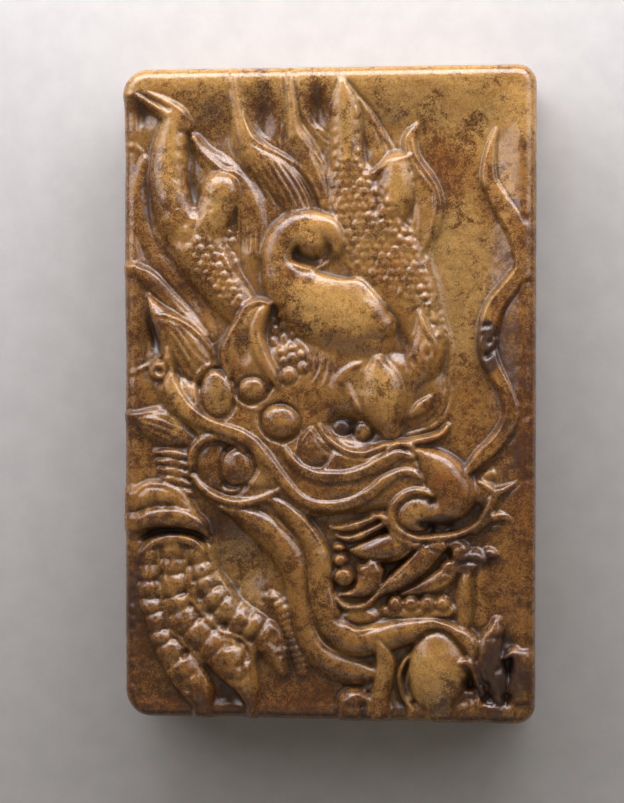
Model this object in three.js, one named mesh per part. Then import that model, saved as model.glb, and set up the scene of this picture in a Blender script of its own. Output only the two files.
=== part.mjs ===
// A carved jade plaque: a thick round-cornered tablet whose face is a dragon's head in high relief.
// Millimetres, +Z up. The plaque lies on its plain back, carved face up, with its head edge toward +Y.
import * as THREE from 'three';

// The tablet.
const plaqueWidth = 41.4;
const plaqueHeight = 65.4;
const plaqueThickness = 11;
const leftCornerRadius = 2.6;
const rightCornerRadius = 1.9;
const faceEdgeRadius = 1.3;
const backEdgeRadius = 0.7;

// The relief, from its deepest ground to its highest crest, and how far polishing has rounded it.
const reliefDepth = 3.3;
const polishRadius = 0.36;

// Facets of the face and of each rounded edge.
const cellsAcross = 45;
const cellsUp = 71;
const faceEdgeSteps = 3;
const backEdgeSteps = 2;

// The carved forms are placed on a drawing of the face, x to the right and y up from its middle, with
// heights above the deepest ground. The drawing is stretched over the tablet, whatever its size.
const drawingWidth = 41.4;
const drawingHeight = 65.4;
const drawingDepth = 3.3;
const drawingStep = 0.25;
const openGround = 1.15;
const fullGround = 2.6;
const footLevel = 2;
const evenness = 0.7;
const stepsPerSpan = 6;
const thinnest = 0.05;

const jade = new THREE.MeshStandardMaterial({ color: 0x9a6a2e, roughness: 0.28, metalness: 0 });

// Height across a form, from 1 along its middle to 0 at its edge.
const sections = {
  round: (a) => Math.sqrt(1 - a * a),
  soft: (a) => 1 - a * a,
  flat: (a) => Math.sqrt(1 - a ** 4),
};

// The drawing as a grid of heights, and the ways of carving it.
class Drawing {
  constructor() {
    this.columns = Math.round(drawingWidth / drawingStep) + 1;
    this.rows = Math.round(drawingHeight / drawingStep) + 1;
    this.heights = new Float64Array(this.columns * this.rows);
  }

  // Visits the grid points inside a box.
  visit(left, bottom, right, top, act) {
    const column = (x) => THREE.MathUtils.clamp((x + drawingWidth / 2) / drawingStep, 0, this.columns - 1);
    const row = (y) => THREE.MathUtils.clamp((y + drawingHeight / 2) / drawingStep, 0, this.rows - 1);
    for (let j = Math.floor(row(bottom)); j <= Math.ceil(row(top)); j += 1) {
      for (let i = Math.floor(column(left)); i <= Math.ceil(column(right)); i += 1) {
        const x = i * drawingStep - drawingWidth / 2;
        const y = j * drawingStep - drawingHeight / 2;
        const at = j * this.columns + i;
        this.heights[at] = act(x, y, this.heights[at]);
      }
    }
  }

  // Changes every height, as the ground does before anything is laid on it.
  shape(act) {
    this.visit(-drawingWidth / 2, -drawingHeight / 2, drawingWidth / 2, drawingHeight / 2, act);
  }

  // Lays a long form over what is there. Its points are x, y, half width and height of the crest, and
  // drop is how far its sides fall. With root, it grows out of what is under its first stretch.
  form(points, { drop = 1, section = 'round', edge = 0.16, root = 0 } = {}) {
    const smooth = (list) => new THREE.CatmullRomCurve3(list, false, 'catmullrom', 0.5);
    const steps = (points.length - 1) * stepsPerSpan;
    const route = smooth(points.map(([x, y, half]) => new THREE.Vector3(x, y, half))).getPoints(steps);
    const crests = smooth(points.map(([, , , crest], i) => new THREE.Vector3(i, crest, 0))).getPoints(steps);
    const reach = Math.max(...route.map((p) => p.z)) + edge;
    const box = new THREE.Box3().setFromPoints(route);
    this.visit(box.min.x - reach, box.min.y - reach, box.max.x + reach, box.max.y + reach, (x, y, before) => {
      let best = { distance: Infinity };
      for (let k = 0; k < steps; k += 1) {
        const from = route[k];
        const to = route[k + 1];
        const dx = to.x - from.x;
        const dy = to.y - from.y;
        const along = ((x - from.x) * dx + (y - from.y) * dy) / (dx * dx + dy * dy);
        const t = THREE.MathUtils.clamp(along, 0, 1);
        const distance = Math.hypot(x - from.x - t * dx, y - from.y - t * dy);
        if (distance < best.distance) {
          best = { distance, k, t };
        }
      }
      const { distance, k, t } = best;
      const half = Math.max(THREE.MathUtils.lerp(route[k].z, route[k + 1].z, t), thinnest);
      const crest = THREE.MathUtils.lerp(crests[k].y, crests[k + 1].y, t);
      const height = crest - drop + drop * sections[section](Math.min(distance / half, 1));
      const cover = 1 - THREE.MathUtils.smoothstep(distance, half - edge, half + edge);
      const grown = root ? THREE.MathUtils.smoothstep((k + t) / steps, 0, root) : 1;
      return THREE.MathUtils.lerp(before, height, cover * grown);
    });
  }

  // Visits an ellipse and a margin around it, with the distance from its middle as 1 at its edge.
  ellipse([x, y], [rx, ry], turn, margin, act) {
    const angle = THREE.MathUtils.degToRad(turn);
    const reach = Math.max(rx, ry) + margin;
    this.visit(x - reach, y - reach, x + reach, y + reach, (px, py, before) => {
      const u = ((px - x) * Math.cos(angle) + (py - y) * Math.sin(angle)) / rx;
      const v = ((py - y) * Math.cos(angle) - (px - x) * Math.sin(angle)) / ry;
      return act(Math.hypot(u, v), before);
    });
  }

  // Lays a dome over what is there.
  dome(middle, radii, crest, { drop = 1, section = 'round', turn = 0, edge = 0.16 } = {}) {
    const soft = edge / Math.min(...radii);
    this.ellipse(middle, radii, turn, edge, (a, before) => {
      const height = crest - drop + drop * sections[section](Math.min(a, 1));
      return THREE.MathUtils.lerp(before, height, 1 - THREE.MathUtils.smoothstep(a, 1 - soft, 1 + soft));
    });
  }

  // Raises what is there into a low swelling, or hollows it where the rise is negative.
  swell(middle, radii, rise, turn = 0) {
    this.ellipse(middle, radii, turn, 0, (a, before) => before + rise * Math.max(1 - a * a, 0) ** 2);
  }

  // Rounds everything, as polishing does.
  polish(radius) {
    const sigma = radius / drawingStep;
    const reach = Math.ceil(3 * sigma);
    for (const [stepX, stepY] of [[1, 0], [0, 1]]) {
      const before = this.heights.slice();
      this.heights.forEach((_, at) => {
        const i = at % this.columns;
        const j = Math.floor(at / this.columns);
        let sum = 0;
        let total = 0;
        for (let k = -reach; k <= reach; k += 1) {
          const column = THREE.MathUtils.clamp(i + k * stepX, 0, this.columns - 1);
          const row = THREE.MathUtils.clamp(j + k * stepY, 0, this.rows - 1);
          const share = Math.exp(-0.5 * (k / sigma) ** 2);
          sum += share * before[row * this.columns + column];
          total += share;
        }
        this.heights[at] = sum / total;
      });
    }
  }

  // The height at any place of the drawing.
  heightAt(x, y) {
    const column = THREE.MathUtils.clamp((x + drawingWidth / 2) / drawingStep, 0, this.columns - 1.001);
    const row = THREE.MathUtils.clamp((y + drawingHeight / 2) / drawingStep, 0, this.rows - 1.001);
    const i = Math.floor(column);
    const j = Math.floor(row);
    const at = j * this.columns + i;
    const { lerp } = THREE.MathUtils;
    const lower = lerp(this.heights[at], this.heights[at + 1], column - i);
    const upper = lerp(this.heights[at + this.columns], this.heights[at + this.columns + 1], column - i);
    return lerp(lower, upper, row - j);
  }
}

// Plain ground: full height along the head edge and the right edge, dished toward the head of the dragon.
function carveGround(face) {
  const { lerp, smoothstep } = THREE.MathUtils;
  face.shape((x, y) => {
    const headEdge = smoothstep(y, 25, 31.5);
    const rightEdge = smoothstep(x, 15.5, 20) * smoothstep(y, -30, -10);
    return lerp(openGround, fullGround, 1 - (1 - headEdge) * (1 - rightEdge));
  });
  face.swell([-19.2, 19.5], [1.6, 9], -0.7);
  face.swell([-19, 4.5], [2.2, 4], -0.6);
  face.swell([-9, -17.5], [4.6, 5.4], -1, -20);
  face.swell([13.5, 9], [3.6, 13], -0.25);
  face.swell([-9.8, -30.3], [2.2, 3.2], -0.8);
  face.swell([-2.5, -30.3], [4.4, 2.6], 0.25);
  face.swell([6.5, -16], [7.5, 6], -0.9);
  face.swell([-6.2, 29], [1.7, 4], -0.9);
  face.swell([-1.3, 28.6], [1.3, 3], -0.8);
}

// Locks of the mane: along the left edge, beside the antlers, and two flames that rise to the head edge.
function carveMane(face) {
  face.form([[-20.1, 26.4, 0.15, 1.9], [-19.3, 25, 0.4, 1.8], [-18.8, 20.5, 0.55, 1.4], [-18.2, 15, 0.8, 1.4],
    [-16.6, 12.9, 1.1, 1.5], [-13, 8.2, 1.3, 1.5], [-11.6, 6, 0.8, 1.5]], { drop: 0.7, section: 'soft' });
  face.form([[-20.6, 14.8, 0.12, 2.3], [-19.7, 13.1, 0.35, 2.3], [-18.5, 12, 0.8, 2.2],
    [-15.4, 9.2, 0.9, 1.8], [-12.2, 6, 0.5, 1.6]], { drop: 1 });
  face.form([[-8, 11.6, 0.8, 1.6], [-7.6, 15.8, 1.5, 1.8], [-8.1, 18.2, 1.8, 1.9], [-9.2, 20.3, 1.8, 1.9],
    [-10.8, 22.1, 1.4, 1.9], [-12.3, 23.9, 0.75, 2], [-13.8, 27.2, 0.3, 2.3]],
  { drop: 0.8, section: 'soft', root: 0.15 });
  face.form([[-9.5, 31.6, 0.45, 2.75], [-9.1, 29.8, 0.75, 2.75], [-8, 25.7, 1.3, 2.75], [-6.6, 23.7, 1.6, 2.6],
    [-4.9, 21.8, 1.7, 2.4], [-3.3, 19.8, 1.7, 2.1], [-2.4, 18, 1.5, 1.8]], { drop: 1.2, section: 'soft' });
  face.form([[-4.2, 31.9, 0.35, 2.75], [-3.45, 28.6, 0.75, 2.7], [-3.1, 26.8, 0.9, 2.6], [-2.2, 24.8, 1.5, 2.3],
    [-0.4, 20.4, 1.1, 1.9], [-0.1, 18.8, 0.7, 1.7]], { drop: 1.1, section: 'soft' });
  face.form([[2.4, 30.9, 0.2, 2.3], [3.4, 29, 0.55, 2.2], [4.4, 27, 1.1, 2], [4.8, 24.8, 1.5, 1.8],
    [4.6, 20.8, 1, 1.5]], { drop: 0.9, section: 'soft' });
  face.form([[9.4, 27.3, 0.15, 2], [8.6, 26.2, 0.5, 2.1], [8.2, 25, 0.75, 2.1], [9.3, 21.5, 1.3, 2.1],
    [9.6, 17.3, 1.5, 1.9], [8.9, 15.3, 1.1, 1.8]], { drop: 0.75, section: 'flat' });
}

// The neck behind the right antler, and that antler's two prongs.
function carveNeckAndRightAntler(face) {
  face.form([[2.2, 21.5, 2.2, 2.1], [3.4, 17.5, 3.4, 2.2], [5.2, 14.2, 4, 2.2], [7.2, 11.4, 3.4, 2.3],
    [9.4, 5.6, 2.2, 2.3], [9.6, 2.8, 1.4, 2.1]], { drop: 0.8, section: 'flat', edge: 0.6 });
  face.form([[2.6, 20.4, 1.3, 2.1], [2.1, 22.4, 1.5, 2.5], [1.8, 24.6, 1.6, 2.9], [1.6, 28.8, 1.3, 3],
    [1.3, 30.5, 0.7, 2.8]], { drop: 1.4, root: 0.3 });
  face.form([[5.6, 15.6, 1.4, 2.2], [5.9, 17.4, 1.9, 2.5], [6.4, 19.4, 2.1, 2.9], [6.7, 21.4, 1.95, 3],
    [7, 23.5, 1.2, 2.8]], { drop: 1.4, root: 0.35 });
}

// The left antler: its trunk, the outer prong with a long tip, and the round inner prong.
function carveLeftAntler(face) {
  face.form([[-7.6, 6.8, 1.4, 2.2], [-9, 9, 2, 2.4], [-12.2, 13, 2.3, 2.5], [-13.5, 15.2, 2.3, 2.6],
    [-14.4, 17.3, 2, 2.6]], { drop: 1.4 });
  face.form([[-13.4, 14.4, 1.3, 2.6], [-14.6, 16.4, 1.8, 2.8], [-15.6, 18.7, 1.95, 3], [-16, 21.2, 1.95, 3],
    [-15.6, 26.2, 1.55, 3], [-15.3, 28.7, 0.6, 2.7]], { drop: 1.7, root: 0.3 });
  face.form([[-12.6, 14.2, 1.2, 2.6], [-12.4, 16, 1.4, 2.7], [-11.4, 19.3, 1.6, 3], [-10.9, 21.7, 0.7, 2.7]],
    { drop: 1.5, root: 0.4 });
  face.form([[-19.7, 30.8, 0.35, 2.6], [-17.2, 29.3, 0.55, 2.8], [-15.9, 28.7, 0.8, 2.95],
    [-14.9, 27.8, 0.95, 2.9], [-14.2, 25.4, 0.4, 2.4]], { drop: 1 });
  face.swell([-13.5, 19.6], [0.8, 1.7], -0.8, 8);
}

// The crest of the head, a bulb whose end curls up into a volute with a pit.
function carveCrest(face) {
  face.form([[0.5, 14.3, 0.7, 2.6], [0.6, 15.6, 1.05, 2.9], [-0.4, 16.8, 1.35, 3.05], [-2.1, 17.2, 1.4, 3.1],
    [-3.9, 16.4, 1.55, 3.05], [-5, 14.7, 1.7, 2.95], [-5.1, 12.9, 1.8, 2.85], [-4.1, 11.3, 2.7, 2.9],
    [-2, 10.2, 3.5, 3.05], [0.4, 9.4, 3.7, 3.2], [2.6, 8.7, 3.2, 3.2], [4, 8.2, 2.3, 3.05]], { drop: 1.6 });
  face.swell([1, 5.8], [5.2, 2.4], -0.3);
  face.dome([-1.75, 14.7], [1.95, 1.5], 1.55, { drop: 0.1, turn: -12, section: 'soft' });
}

// The broad mass of the head under everything that is carved on it.
function carveHead(face) {
  face.form([[-15.5, 0.5, 1.8, 2], [-13, -2.2, 3.2, 2.2], [-9.5, -5.2, 4.6, 2.2], [-5, -8, 4.6, 2.2],
    [0, -8.6, 3.6, 2.3], [9, -8.4, 3, 2.4]], { drop: 0.7, section: 'flat', edge: 0.7 });
  face.form([[-9, -0.8, 3.5, 2], [-5.5, -1.5, 3.5, 2], [2, -3, 2.5, 2]], { drop: 0.5, section: 'flat', edge: 1.2 });
  face.form([[-4, 3.6, 2.6, 1.9], [4.5, 1, 3.4, 2], [8.8, -1, 3, 1.9]], { drop: 0.5, section: 'flat', edge: 1.2 });
}

// Pointed frill behind the left brow, and the tuft below it.
function carveFrill(face) {
  face.form([[-18.3, 9.6, 0.2, 2.5], [-17.4, 8.2, 0.8, 2.7], [-16, 6.5, 1.6, 2.7], [-14.6, 4.9, 2.2, 2.5],
    [-13.4, 3.4, 2, 2.2], [-12.4, 2, 1.2, 2]], { drop: 0.9, section: 'soft' });
  face.form([[-19.4, -1.9, 0.2, 2.1], [-18.2, -2.6, 0.9, 2.2], [-15.5, -3.9, 1.5, 2.1], [-14.6, -4.3, 1, 1.9]],
    { drop: 0.7, section: 'soft' });
}

// Two folds of the foreleg over its fingers.
function carveForeleg(face) {
  face.form([[-20.3, -12, 0.4, 2.2], [-19.4, -10.7, 1.1, 2.4], [-18, -10.1, 1.25, 2.5], [-16.4, -10.1, 1.25, 2.5],
    [-14.9, -10.7, 1, 2.4], [-13.7, -11.6, 0.5, 2.2]], { drop: 0.9 });
  face.form([[-20, -13.6, 0.6, 2.4], [-18.7, -12.7, 0.95, 2.8], [-16.8, -12.4, 1.1, 2.95],
    [-14.8, -12.6, 1.05, 2.95], [-12.5, -14.1, 0.4, 2.4]], { drop: 1.2 });
}

// The foreleg's fingers, which fan out toward the foot edge, from right to left and then the middle one.
function carveFingers(face) {
  face.form([[-5.9, -20.2, 0.5, 1.9], [-4.2, -23.2, 0.8, 2], [-2.3, -27.4, 0.7, 1.7]], { drop: 0.8 });
  face.form([[-13.4, -15.2, 1, 2.2], [-12.7, -17.3, 1.2, 2.35], [-11.6, -19.2, 1.4, 2.5],
    [-8.2, -22.2, 1.6, 2.5], [-5.6, -25.8, 1.4, 2.4], [-4.4, -27.9, 0.7, 1.9]], { drop: 1, section: 'flat' });
  face.form([[-18, -15.3, 0.8, 2.2], [-18.2, -19.3, 0.9, 2.4], [-17.5, -23.2, 1.05, 2.6],
    [-16.5, -25.2, 1.4, 2.8], [-15.2, -27.4, 1.8, 3], [-14, -29.4, 1.75, 3], [-12.4, -32.1, 0.5, 2.3]],
  { drop: 1.2, section: 'flat' });
  face.form([[-15.8, -15, 1.2, 2.3], [-15.6, -19.3, 1.3, 2.5], [-15, -21.3, 1.55, 2.6], [-13.8, -23.1, 1.8, 2.7],
    [-12.1, -24.8, 1.9, 2.8], [-10.4, -26.2, 2.1, 2.95], [-9.1, -27.8, 1.9, 2.95], [-7.5, -31, 0.6, 2.3]],
  { drop: 1.2, section: 'flat' });
}

// The cheek, and the inner band that turns along the foot edge into the lower lip.
function carveJaw(face) {
  face.form([[-10.8, -11, 0.5, 2.4], [-8.4, -11.9, 1.1, 2.5], [-6.2, -13.5, 1.6, 2.6], [-4.4, -15.7, 1.8, 2.65],
    [-2.9, -21, 1.4, 2.6], [-2, -24, 1.4, 2.5], [-0.1, -26.4, 1.4, 2.4], [2.6, -27.3, 1.2, 2.2],
    [4.4, -27.4, 0.6, 2]], { drop: 1.2 });
  face.form([[-6.2, -10.6, 0.5, 2.6], [-3.8, -12, 1, 2.7], [-2, -14.1, 1.15, 2.8], [-0.6, -19.8, 1.15, 2.8],
    [0.2, -22.6, 1.3, 2.8], [2.3, -24.6, 1.4, 2.8], [5.2, -24.3, 1.4, 2.8], [11, -23.3, 1.15, 2.8],
    [13.6, -24.1, 1.1, 2.9], [15, -24.9, 0.7, 2.8]], { drop: 1.1 });
}

// The open mouth: upper lip, tongue, pocket of the cheek, beard, fang and teeth.
function carveMouth(face) {
  face.form([[2.7, -15.5, 0.4, 2], [4.2, -15.8, 1.05, 2.3], [6, -15.7, 1.35, 2.5], [8.4, -16.3, 0.35, 2]]);
  face.form([[5, -19.4, 0.4, 2.1], [6.6, -18.5, 0.85, 2.3], [9.8, -16, 1.15, 2.4], [11, -15.2, 0.6, 2.3]]);
  face.dome([3.9, -18.7], [1.35, 1.3], 2.2, { drop: 0.9, turn: 25 });
  face.dome([3.3, -22.2], [1.7, 0.85], 1.9, { drop: 0.6 });
  face.form([[7, -19.7, 0.3, 1.6], [9.2, -19, 0.75, 1.8], [12.4, -17.8, 0.3, 1.7]], { drop: 0.7 });
  face.form([[12.2, -15.6, 0.7, 2], [13.6, -15.8, 1.15, 2.2], [16.6, -16.4, 0.4, 1.9]], { drop: 0.8 });
  face.dome([15.2, -9.7], [1.2, 1.4], 2, { drop: 0.5, section: 'soft' });
  face.form([[13.7, -17.6, 0.5, 2.2], [13.5, -19.6, 0.8, 2.35], [13.3, -22.5, 0.4, 2.2]], { drop: 0.9 });
  face.dome([1.25, -16.4], [0.78, 0.75], 2.2, { drop: 0.6 });
  face.dome([1.65, -18.2], [1, 0.95], 2.2, { drop: 0.7, turn: -15 });
  const firstTooth = 6.75;
  const toothPitch = 1.58;
  for (let i = 0; i < 4; i += 1) {
    face.dome([firstTooth + i * toothPitch, -21], [0.76, 0.9], 2.2, { drop: 0.8 });
  }
}

// The near brow: a dome, the ear with its rolled edge, and three bosses.
function carveNearBrow(face) {
  face.dome([-11.1, -0.2], [1.75, 2.15], 2.55, { drop: 0.7, turn: 15 });
  face.form([[-6.9, 8.3, 0.5, 2.8], [-7.6, 7.1, 1.3, 2.8], [-8.2, 5.5, 1.9, 2.7], [-7.9, 3.6, 2.3, 2.5],
    [-7.2, 1.8, 2, 2.2]], { drop: 1.2, section: 'flat' });
  face.swell([-8, 4.6], [1, 2.6], -0.45, -14);
  face.form([[-6.3, 8.7, 0.3, 3], [-6.9, 6, 0.7, 3.1], [-6.6, 4.6, 0.7, 3], [-5.8, 3.1, 0.65, 2.9],
    [-4.7, 0.9, 0.3, 2.4]], { drop: 0.9 });
  face.dome([-7.7, 0.6], [1.3, 1.25], 2.9, { drop: 0.9 });
  face.dome([-4.7, -2.4], [1.55, 1.55], 2.95, { drop: 1.1 });
  face.form([[-1.6, -3.6, 0.6, 2.7], [-1.6, -4.8, 1.4, 2.8], [-1.3, -5.8, 1.6, 2.6]], { drop: 0.9 });
}

// The far brow: a curl, a tall dome, the sunk far eye, a small boss and the root of the ear.
function carveFarBrow(face) {
  face.form([[0.7, -0.4, 0.4, 2.4], [0.8, 1, 0.6, 2.6], [1.6, 2.2, 0.55, 2.6], [3.3, 2.9, 0.2, 2.4]], { drop: 0.7 });
  face.form([[4.7, 3.7, 0.9, 2.7], [5.2, 2.4, 1.7, 2.9], [5.5, 0.6, 2.1, 3.1], [5.8, -1.4, 2.1, 3],
    [6.9, -4.2, 0.7, 2.4]], { drop: 1.4 });
  face.swell([2, -3.3], [3.3, 1.9], -1.5, -12);
  face.dome([3.3, -3.7], [1.05, 0.95], 1.9, { drop: 0.8 });
  face.swell([9.5, -0.9], [2.2, 2], -0.45);
  face.dome([9.3, -1.1], [0.85, 0.75], 2.2, { drop: 0.5, turn: 20 });
  face.form([[9.2, 9.1, 0.25, 2.8], [9.5, 7.6, 0.9, 2.9], [9.6, 6, 1.6, 3], [9.5, 4.5, 1.9, 3],
    [9.3, 2, 0.8, 2.4]], { drop: 1.1 });
}

// The near eye: its socket, the white, the corner and the ball.
function carveNearEye(face) {
  face.swell([-10.4, -7.4], [4.2, 3.8], -0.8);
  face.dome([-11.1, -7.2], [2.4, 2.4], 2.15, { drop: 0.7, section: 'soft' });
  face.form([[-7.9, -7.2, 0.8, 2.4], [-7, -8.3, 1.1, 2.4], [-6, -9, 0.5, 2.3]], { drop: 0.6 });
  face.dome([-9, -7.1], [1.75, 1.7], 2.65, { drop: 0.9 });
}

// The long brow from the left edge to the nose, the curl at its start, and the bulbous nose.
function carveSnout(face) {
  face.form([[-16.4, 4.5, 0.35, 2.7], [-15.5, 1, 0.75, 2.9], [-14.7, -0.6, 0.85, 3], [-13.3, -2, 0.85, 3],
    [-9.4, -3.8, 0.75, 3], [-7.5, -4.9, 0.75, 3], [-4.6, -8.3, 0.65, 2.9], [-2.8, -10.1, 0.6, 2.9],
    [-0.6, -11.2, 0.6, 2.9], [1.8, -11.1, 0.6, 2.9], [6, -8.2, 0.58, 2.9], [8.2, -7.6, 0.55, 2.9],
    [10.2, -8.4, 0.3, 2.9]], { drop: 1 });
  face.dome([-17, 2.4], [1.1, 1.05], 2.4, { drop: 0.5 });
  face.form([[9.4, -5.5, 0.6, 2.9], [10.5, -6.7, 1.3, 3.1], [11.6, -8.2, 1.9, 3.25], [12.2, -9.9, 2.1, 3.2],
    [11.8, -11.4, 1.9, 2.95], [9, -12.2, 1.5, 2.7]], { drop: 1.5 });
  face.dome([9.2, -11.8], [2, 1.5], 2.9, { drop: 1, turn: 8 });
}

// The whisker, which winds up the plain ground at the right.
function carveWhisker(face) {
  face.form([[14, -7.7, 0.5, 2.2], [16.6, -5.1, 0.62, 2.3], [18.5, -1.6, 0.6, 2.3], [18.4, 0.3, 0.6, 2.3],
    [16.1, 3.7, 0.8, 2.3], [15.6, 5.6, 0.85, 2.3], [15.9, 7.6, 0.8, 2.3], [18.6, 11.2, 0.8, 2.6],
    [19.3, 12.9, 0.85, 2.6], [19.2, 14.9, 0.95, 2.5], [17.25, 18.8, 1.1, 2.3], [16.35, 20.8, 0.9, 2.2],
    [15.95, 22.7, 0.6, 2.1], [17, 26.3, 0.12, 1.9]], { drop: 1.2, section: 'soft' });
}

// The pearl at the foot edge, the lip's end and the claws that close over it, and a small foot beside it.
function carvePearl(face) {
  face.dome([11.4, -27.9], [3.05, 4], 3.2, { drop: 1.9 });
  face.form([[12.6, -24, 0.7, 2.9], [13.8, -24.5, 0.9, 3.1], [14.8, -25, 0.6, 2.9]], { drop: 0.8 });
  face.form([[5, -24.5, 0.3, 2.8], [5.6, -25.6, 0.75, 2.8], [5.9, -27.2, 0.8, 2.75], [5.1, -30.4, 0.85, 2.6],
    [5.4, -31.8, 0.8, 2.6], [8.7, -32, 0.3, 2.2]], { drop: 1.1 });
  face.dome([2.7, -30.9], [1.7, 1.6], 2.6, { drop: 1.1 });
  face.dome([15.6, -31], [2, 1.7], 2.6, { drop: 1.1 });
  face.form([[16.8, -22.6, 0.5, 2.5], [16.4, -25, 1, 3], [16.5, -26.8, 1, 3.1], [17.1, -30, 0.5, 2.5]],
    { drop: 1.3 });
  face.form([[17.9, -26.2, 0.35, 2.4], [18.9, -25.9, 0.55, 2.6], [19.4, -26.8, 0.65, 2.7], [18.7, -30.3, 1, 2.8],
    [17.8, -31.8, 1, 2.5]], { drop: 1.2 });
}

// Toward the outline everything draws near one level, so that the tablet keeps an even edge.
function evenEdges(face) {
  const { lerp, smoothstep } = THREE.MathUtils;
  face.shape((x, y, before) => {
    const toSide = drawingWidth / 2 - Math.abs(x);
    const toEnd = drawingHeight / 2 - Math.abs(y);
    const nearness = 1 - smoothstep(Math.min(toSide, toEnd), 0.8, 2.4);
    const level = lerp(footLevel, fullGround, smoothstep(Math.max(x / drawingWidth, y / drawingHeight), 0, 0.3));
    return lerp(before, level, evenness * nearness);
  });
}

function drawDragon() {
  const face = new Drawing();
  carveGround(face);
  carveMane(face);
  carveNeckAndRightAntler(face);
  carveLeftAntler(face);
  carveCrest(face);
  carveHead(face);
  carveFrill(face);
  carveForeleg(face);
  carveFingers(face);
  carveJaw(face);
  carveMouth(face);
  carveNearBrow(face);
  carveFarBrow(face);
  carveNearEye(face);
  carveSnout(face);
  carveWhisker(face);
  carvePearl(face);
  evenEdges(face);
  face.polish(polishRadius);
  return face;
}

// A fillet is limited by the corners that it runs round.
const sharpestCorner = Math.min(leftCornerRadius, rightCornerRadius);
const faceEdge = Math.min(faceEdgeRadius, 0.9 * sharpestCorner);
const backEdge = Math.min(backEdgeRadius, 0.9 * sharpestCorner);

// A place of the face, u and v from -1 to 1, with the way out of the tablet there. In each corner the
// square grid bends into the round. All of it lies inside the outline by the face's edge radius.
function placeOnFace(u, v) {
  const halfWidth = plaqueWidth / 2 - faceEdge;
  const halfHeight = plaqueHeight / 2 - faceEdge;
  const radius = (u < 0 ? leftCornerRadius : rightCornerRadius) - faceEdge;
  const x = Math.abs(u) * halfWidth;
  const y = Math.abs(v) * halfHeight;
  const p = (x - halfWidth + radius) / radius;
  const q = (y - halfHeight + radius) / radius;
  const place = new THREE.Vector2(x, y);
  const out = new THREE.Vector2(Math.abs(u) === 1 ? 1 : 0, Math.abs(u) === 1 ? 0 : 1);
  if (p > 0 && q > 0) {
    out.set(p * Math.sqrt(1 - (q * q) / 2), q * Math.sqrt(1 - (p * p) / 2));
    place.set(halfWidth - radius + radius * out.x, halfHeight - radius + radius * out.y);
    out.normalize();
  }
  const side = new THREE.Vector2(Math.sign(u) || 1, Math.sign(v) || 1);
  return { place: place.multiply(side), out: out.multiply(side) };
}

function makePlaque() {
  const drawing = drawDragon();
  const groundLevel = plaqueThickness - reliefDepth;
  const positions = [];
  const triangles = [];
  const outward = [];
  const addVertex = (x, y, z) => positions.push(x, y, z) / 3 - 1;
  const height = (at) => positions[3 * at + 2];

  // The carved face.
  for (let j = 0; j <= cellsUp; j += 1) {
    for (let i = 0; i <= cellsAcross; i += 1) {
      const { place, out } = placeOnFace((2 * i) / cellsAcross - 1, (2 * j) / cellsUp - 1);
      const x = (place.x * drawingWidth) / plaqueWidth;
      const y = (place.y * drawingHeight) / plaqueHeight;
      addVertex(place.x, place.y, groundLevel + (drawing.heightAt(x, y) * reliefDepth) / drawingDepth);
      outward.push(out);
    }
  }
  const onGrid = (i, j) => j * (cellsAcross + 1) + i;
  for (let j = 0; j < cellsUp; j += 1) {
    for (let i = 0; i < cellsAcross; i += 1) {
      const [a, b, c, d] = [onGrid(i, j), onGrid(i + 1, j), onGrid(i + 1, j + 1), onGrid(i, j + 1)];
      if (Math.abs(height(a) - height(c)) < Math.abs(height(b) - height(d))) {
        triangles.push(a, b, c, a, c, d);
      } else {
        triangles.push(a, b, d, b, c, d);
      }
    }
  }

  // The border of the face, counterclockwise from its lower left corner.
  const border = [];
  for (let i = 0; i < cellsAcross; i += 1) border.push(onGrid(i, 0));
  for (let j = 0; j < cellsUp; j += 1) border.push(onGrid(cellsAcross, j));
  for (let i = cellsAcross; i > 0; i -= 1) border.push(onGrid(i, cellsUp));
  for (let j = cellsUp; j > 0; j -= 1) border.push(onGrid(0, j));

  // Rings round the border: the rounded edge of the face, the wall, and the rounded edge of the back.
  let last = border;
  const addRing = (offset, level) => {
    const ring = border.map((at) => addVertex(
      positions[3 * at] + offset * outward[at].x,
      positions[3 * at + 1] + offset * outward[at].y,
      level(height(at)),
    ));
    ring.forEach((at, k) => {
      const next = (k + 1) % ring.length;
      triangles.push(last[k], at, ring[next], last[k], ring[next], last[next]);
    });
    last = ring;
  };
  for (let k = 1; k <= faceEdgeSteps; k += 1) {
    const turn = (k / faceEdgeSteps) * (Math.PI / 2);
    addRing(faceEdge * Math.sin(turn), (top) => top - faceEdge * (1 - Math.cos(turn)));
  }
  for (let k = 0; k <= backEdgeSteps; k += 1) {
    const turn = (k / backEdgeSteps) * (Math.PI / 2);
    addRing(faceEdge - backEdge * (1 - Math.cos(turn)), () => backEdge * (1 - Math.sin(turn)));
  }

  // The plain back.
  const outline = last.map((at) => new THREE.Vector2(positions[3 * at], positions[3 * at + 1]));
  THREE.ShapeUtils.triangulateShape(outline, []).forEach(([a, b, c]) => triangles.push(last[a], last[c], last[b]));

  const geometry = new THREE.BufferGeometry();
  geometry.setAttribute('position', new THREE.Float32BufferAttribute(positions, 3));
  geometry.setIndex(triangles);
  geometry.computeVertexNormals();
  const plaque = new THREE.Mesh(geometry, jade);
  plaque.name = 'plaque';
  return plaque;
}

const group = new THREE.Group();
group.add(makePlaque());
export default group;
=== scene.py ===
import math

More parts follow.
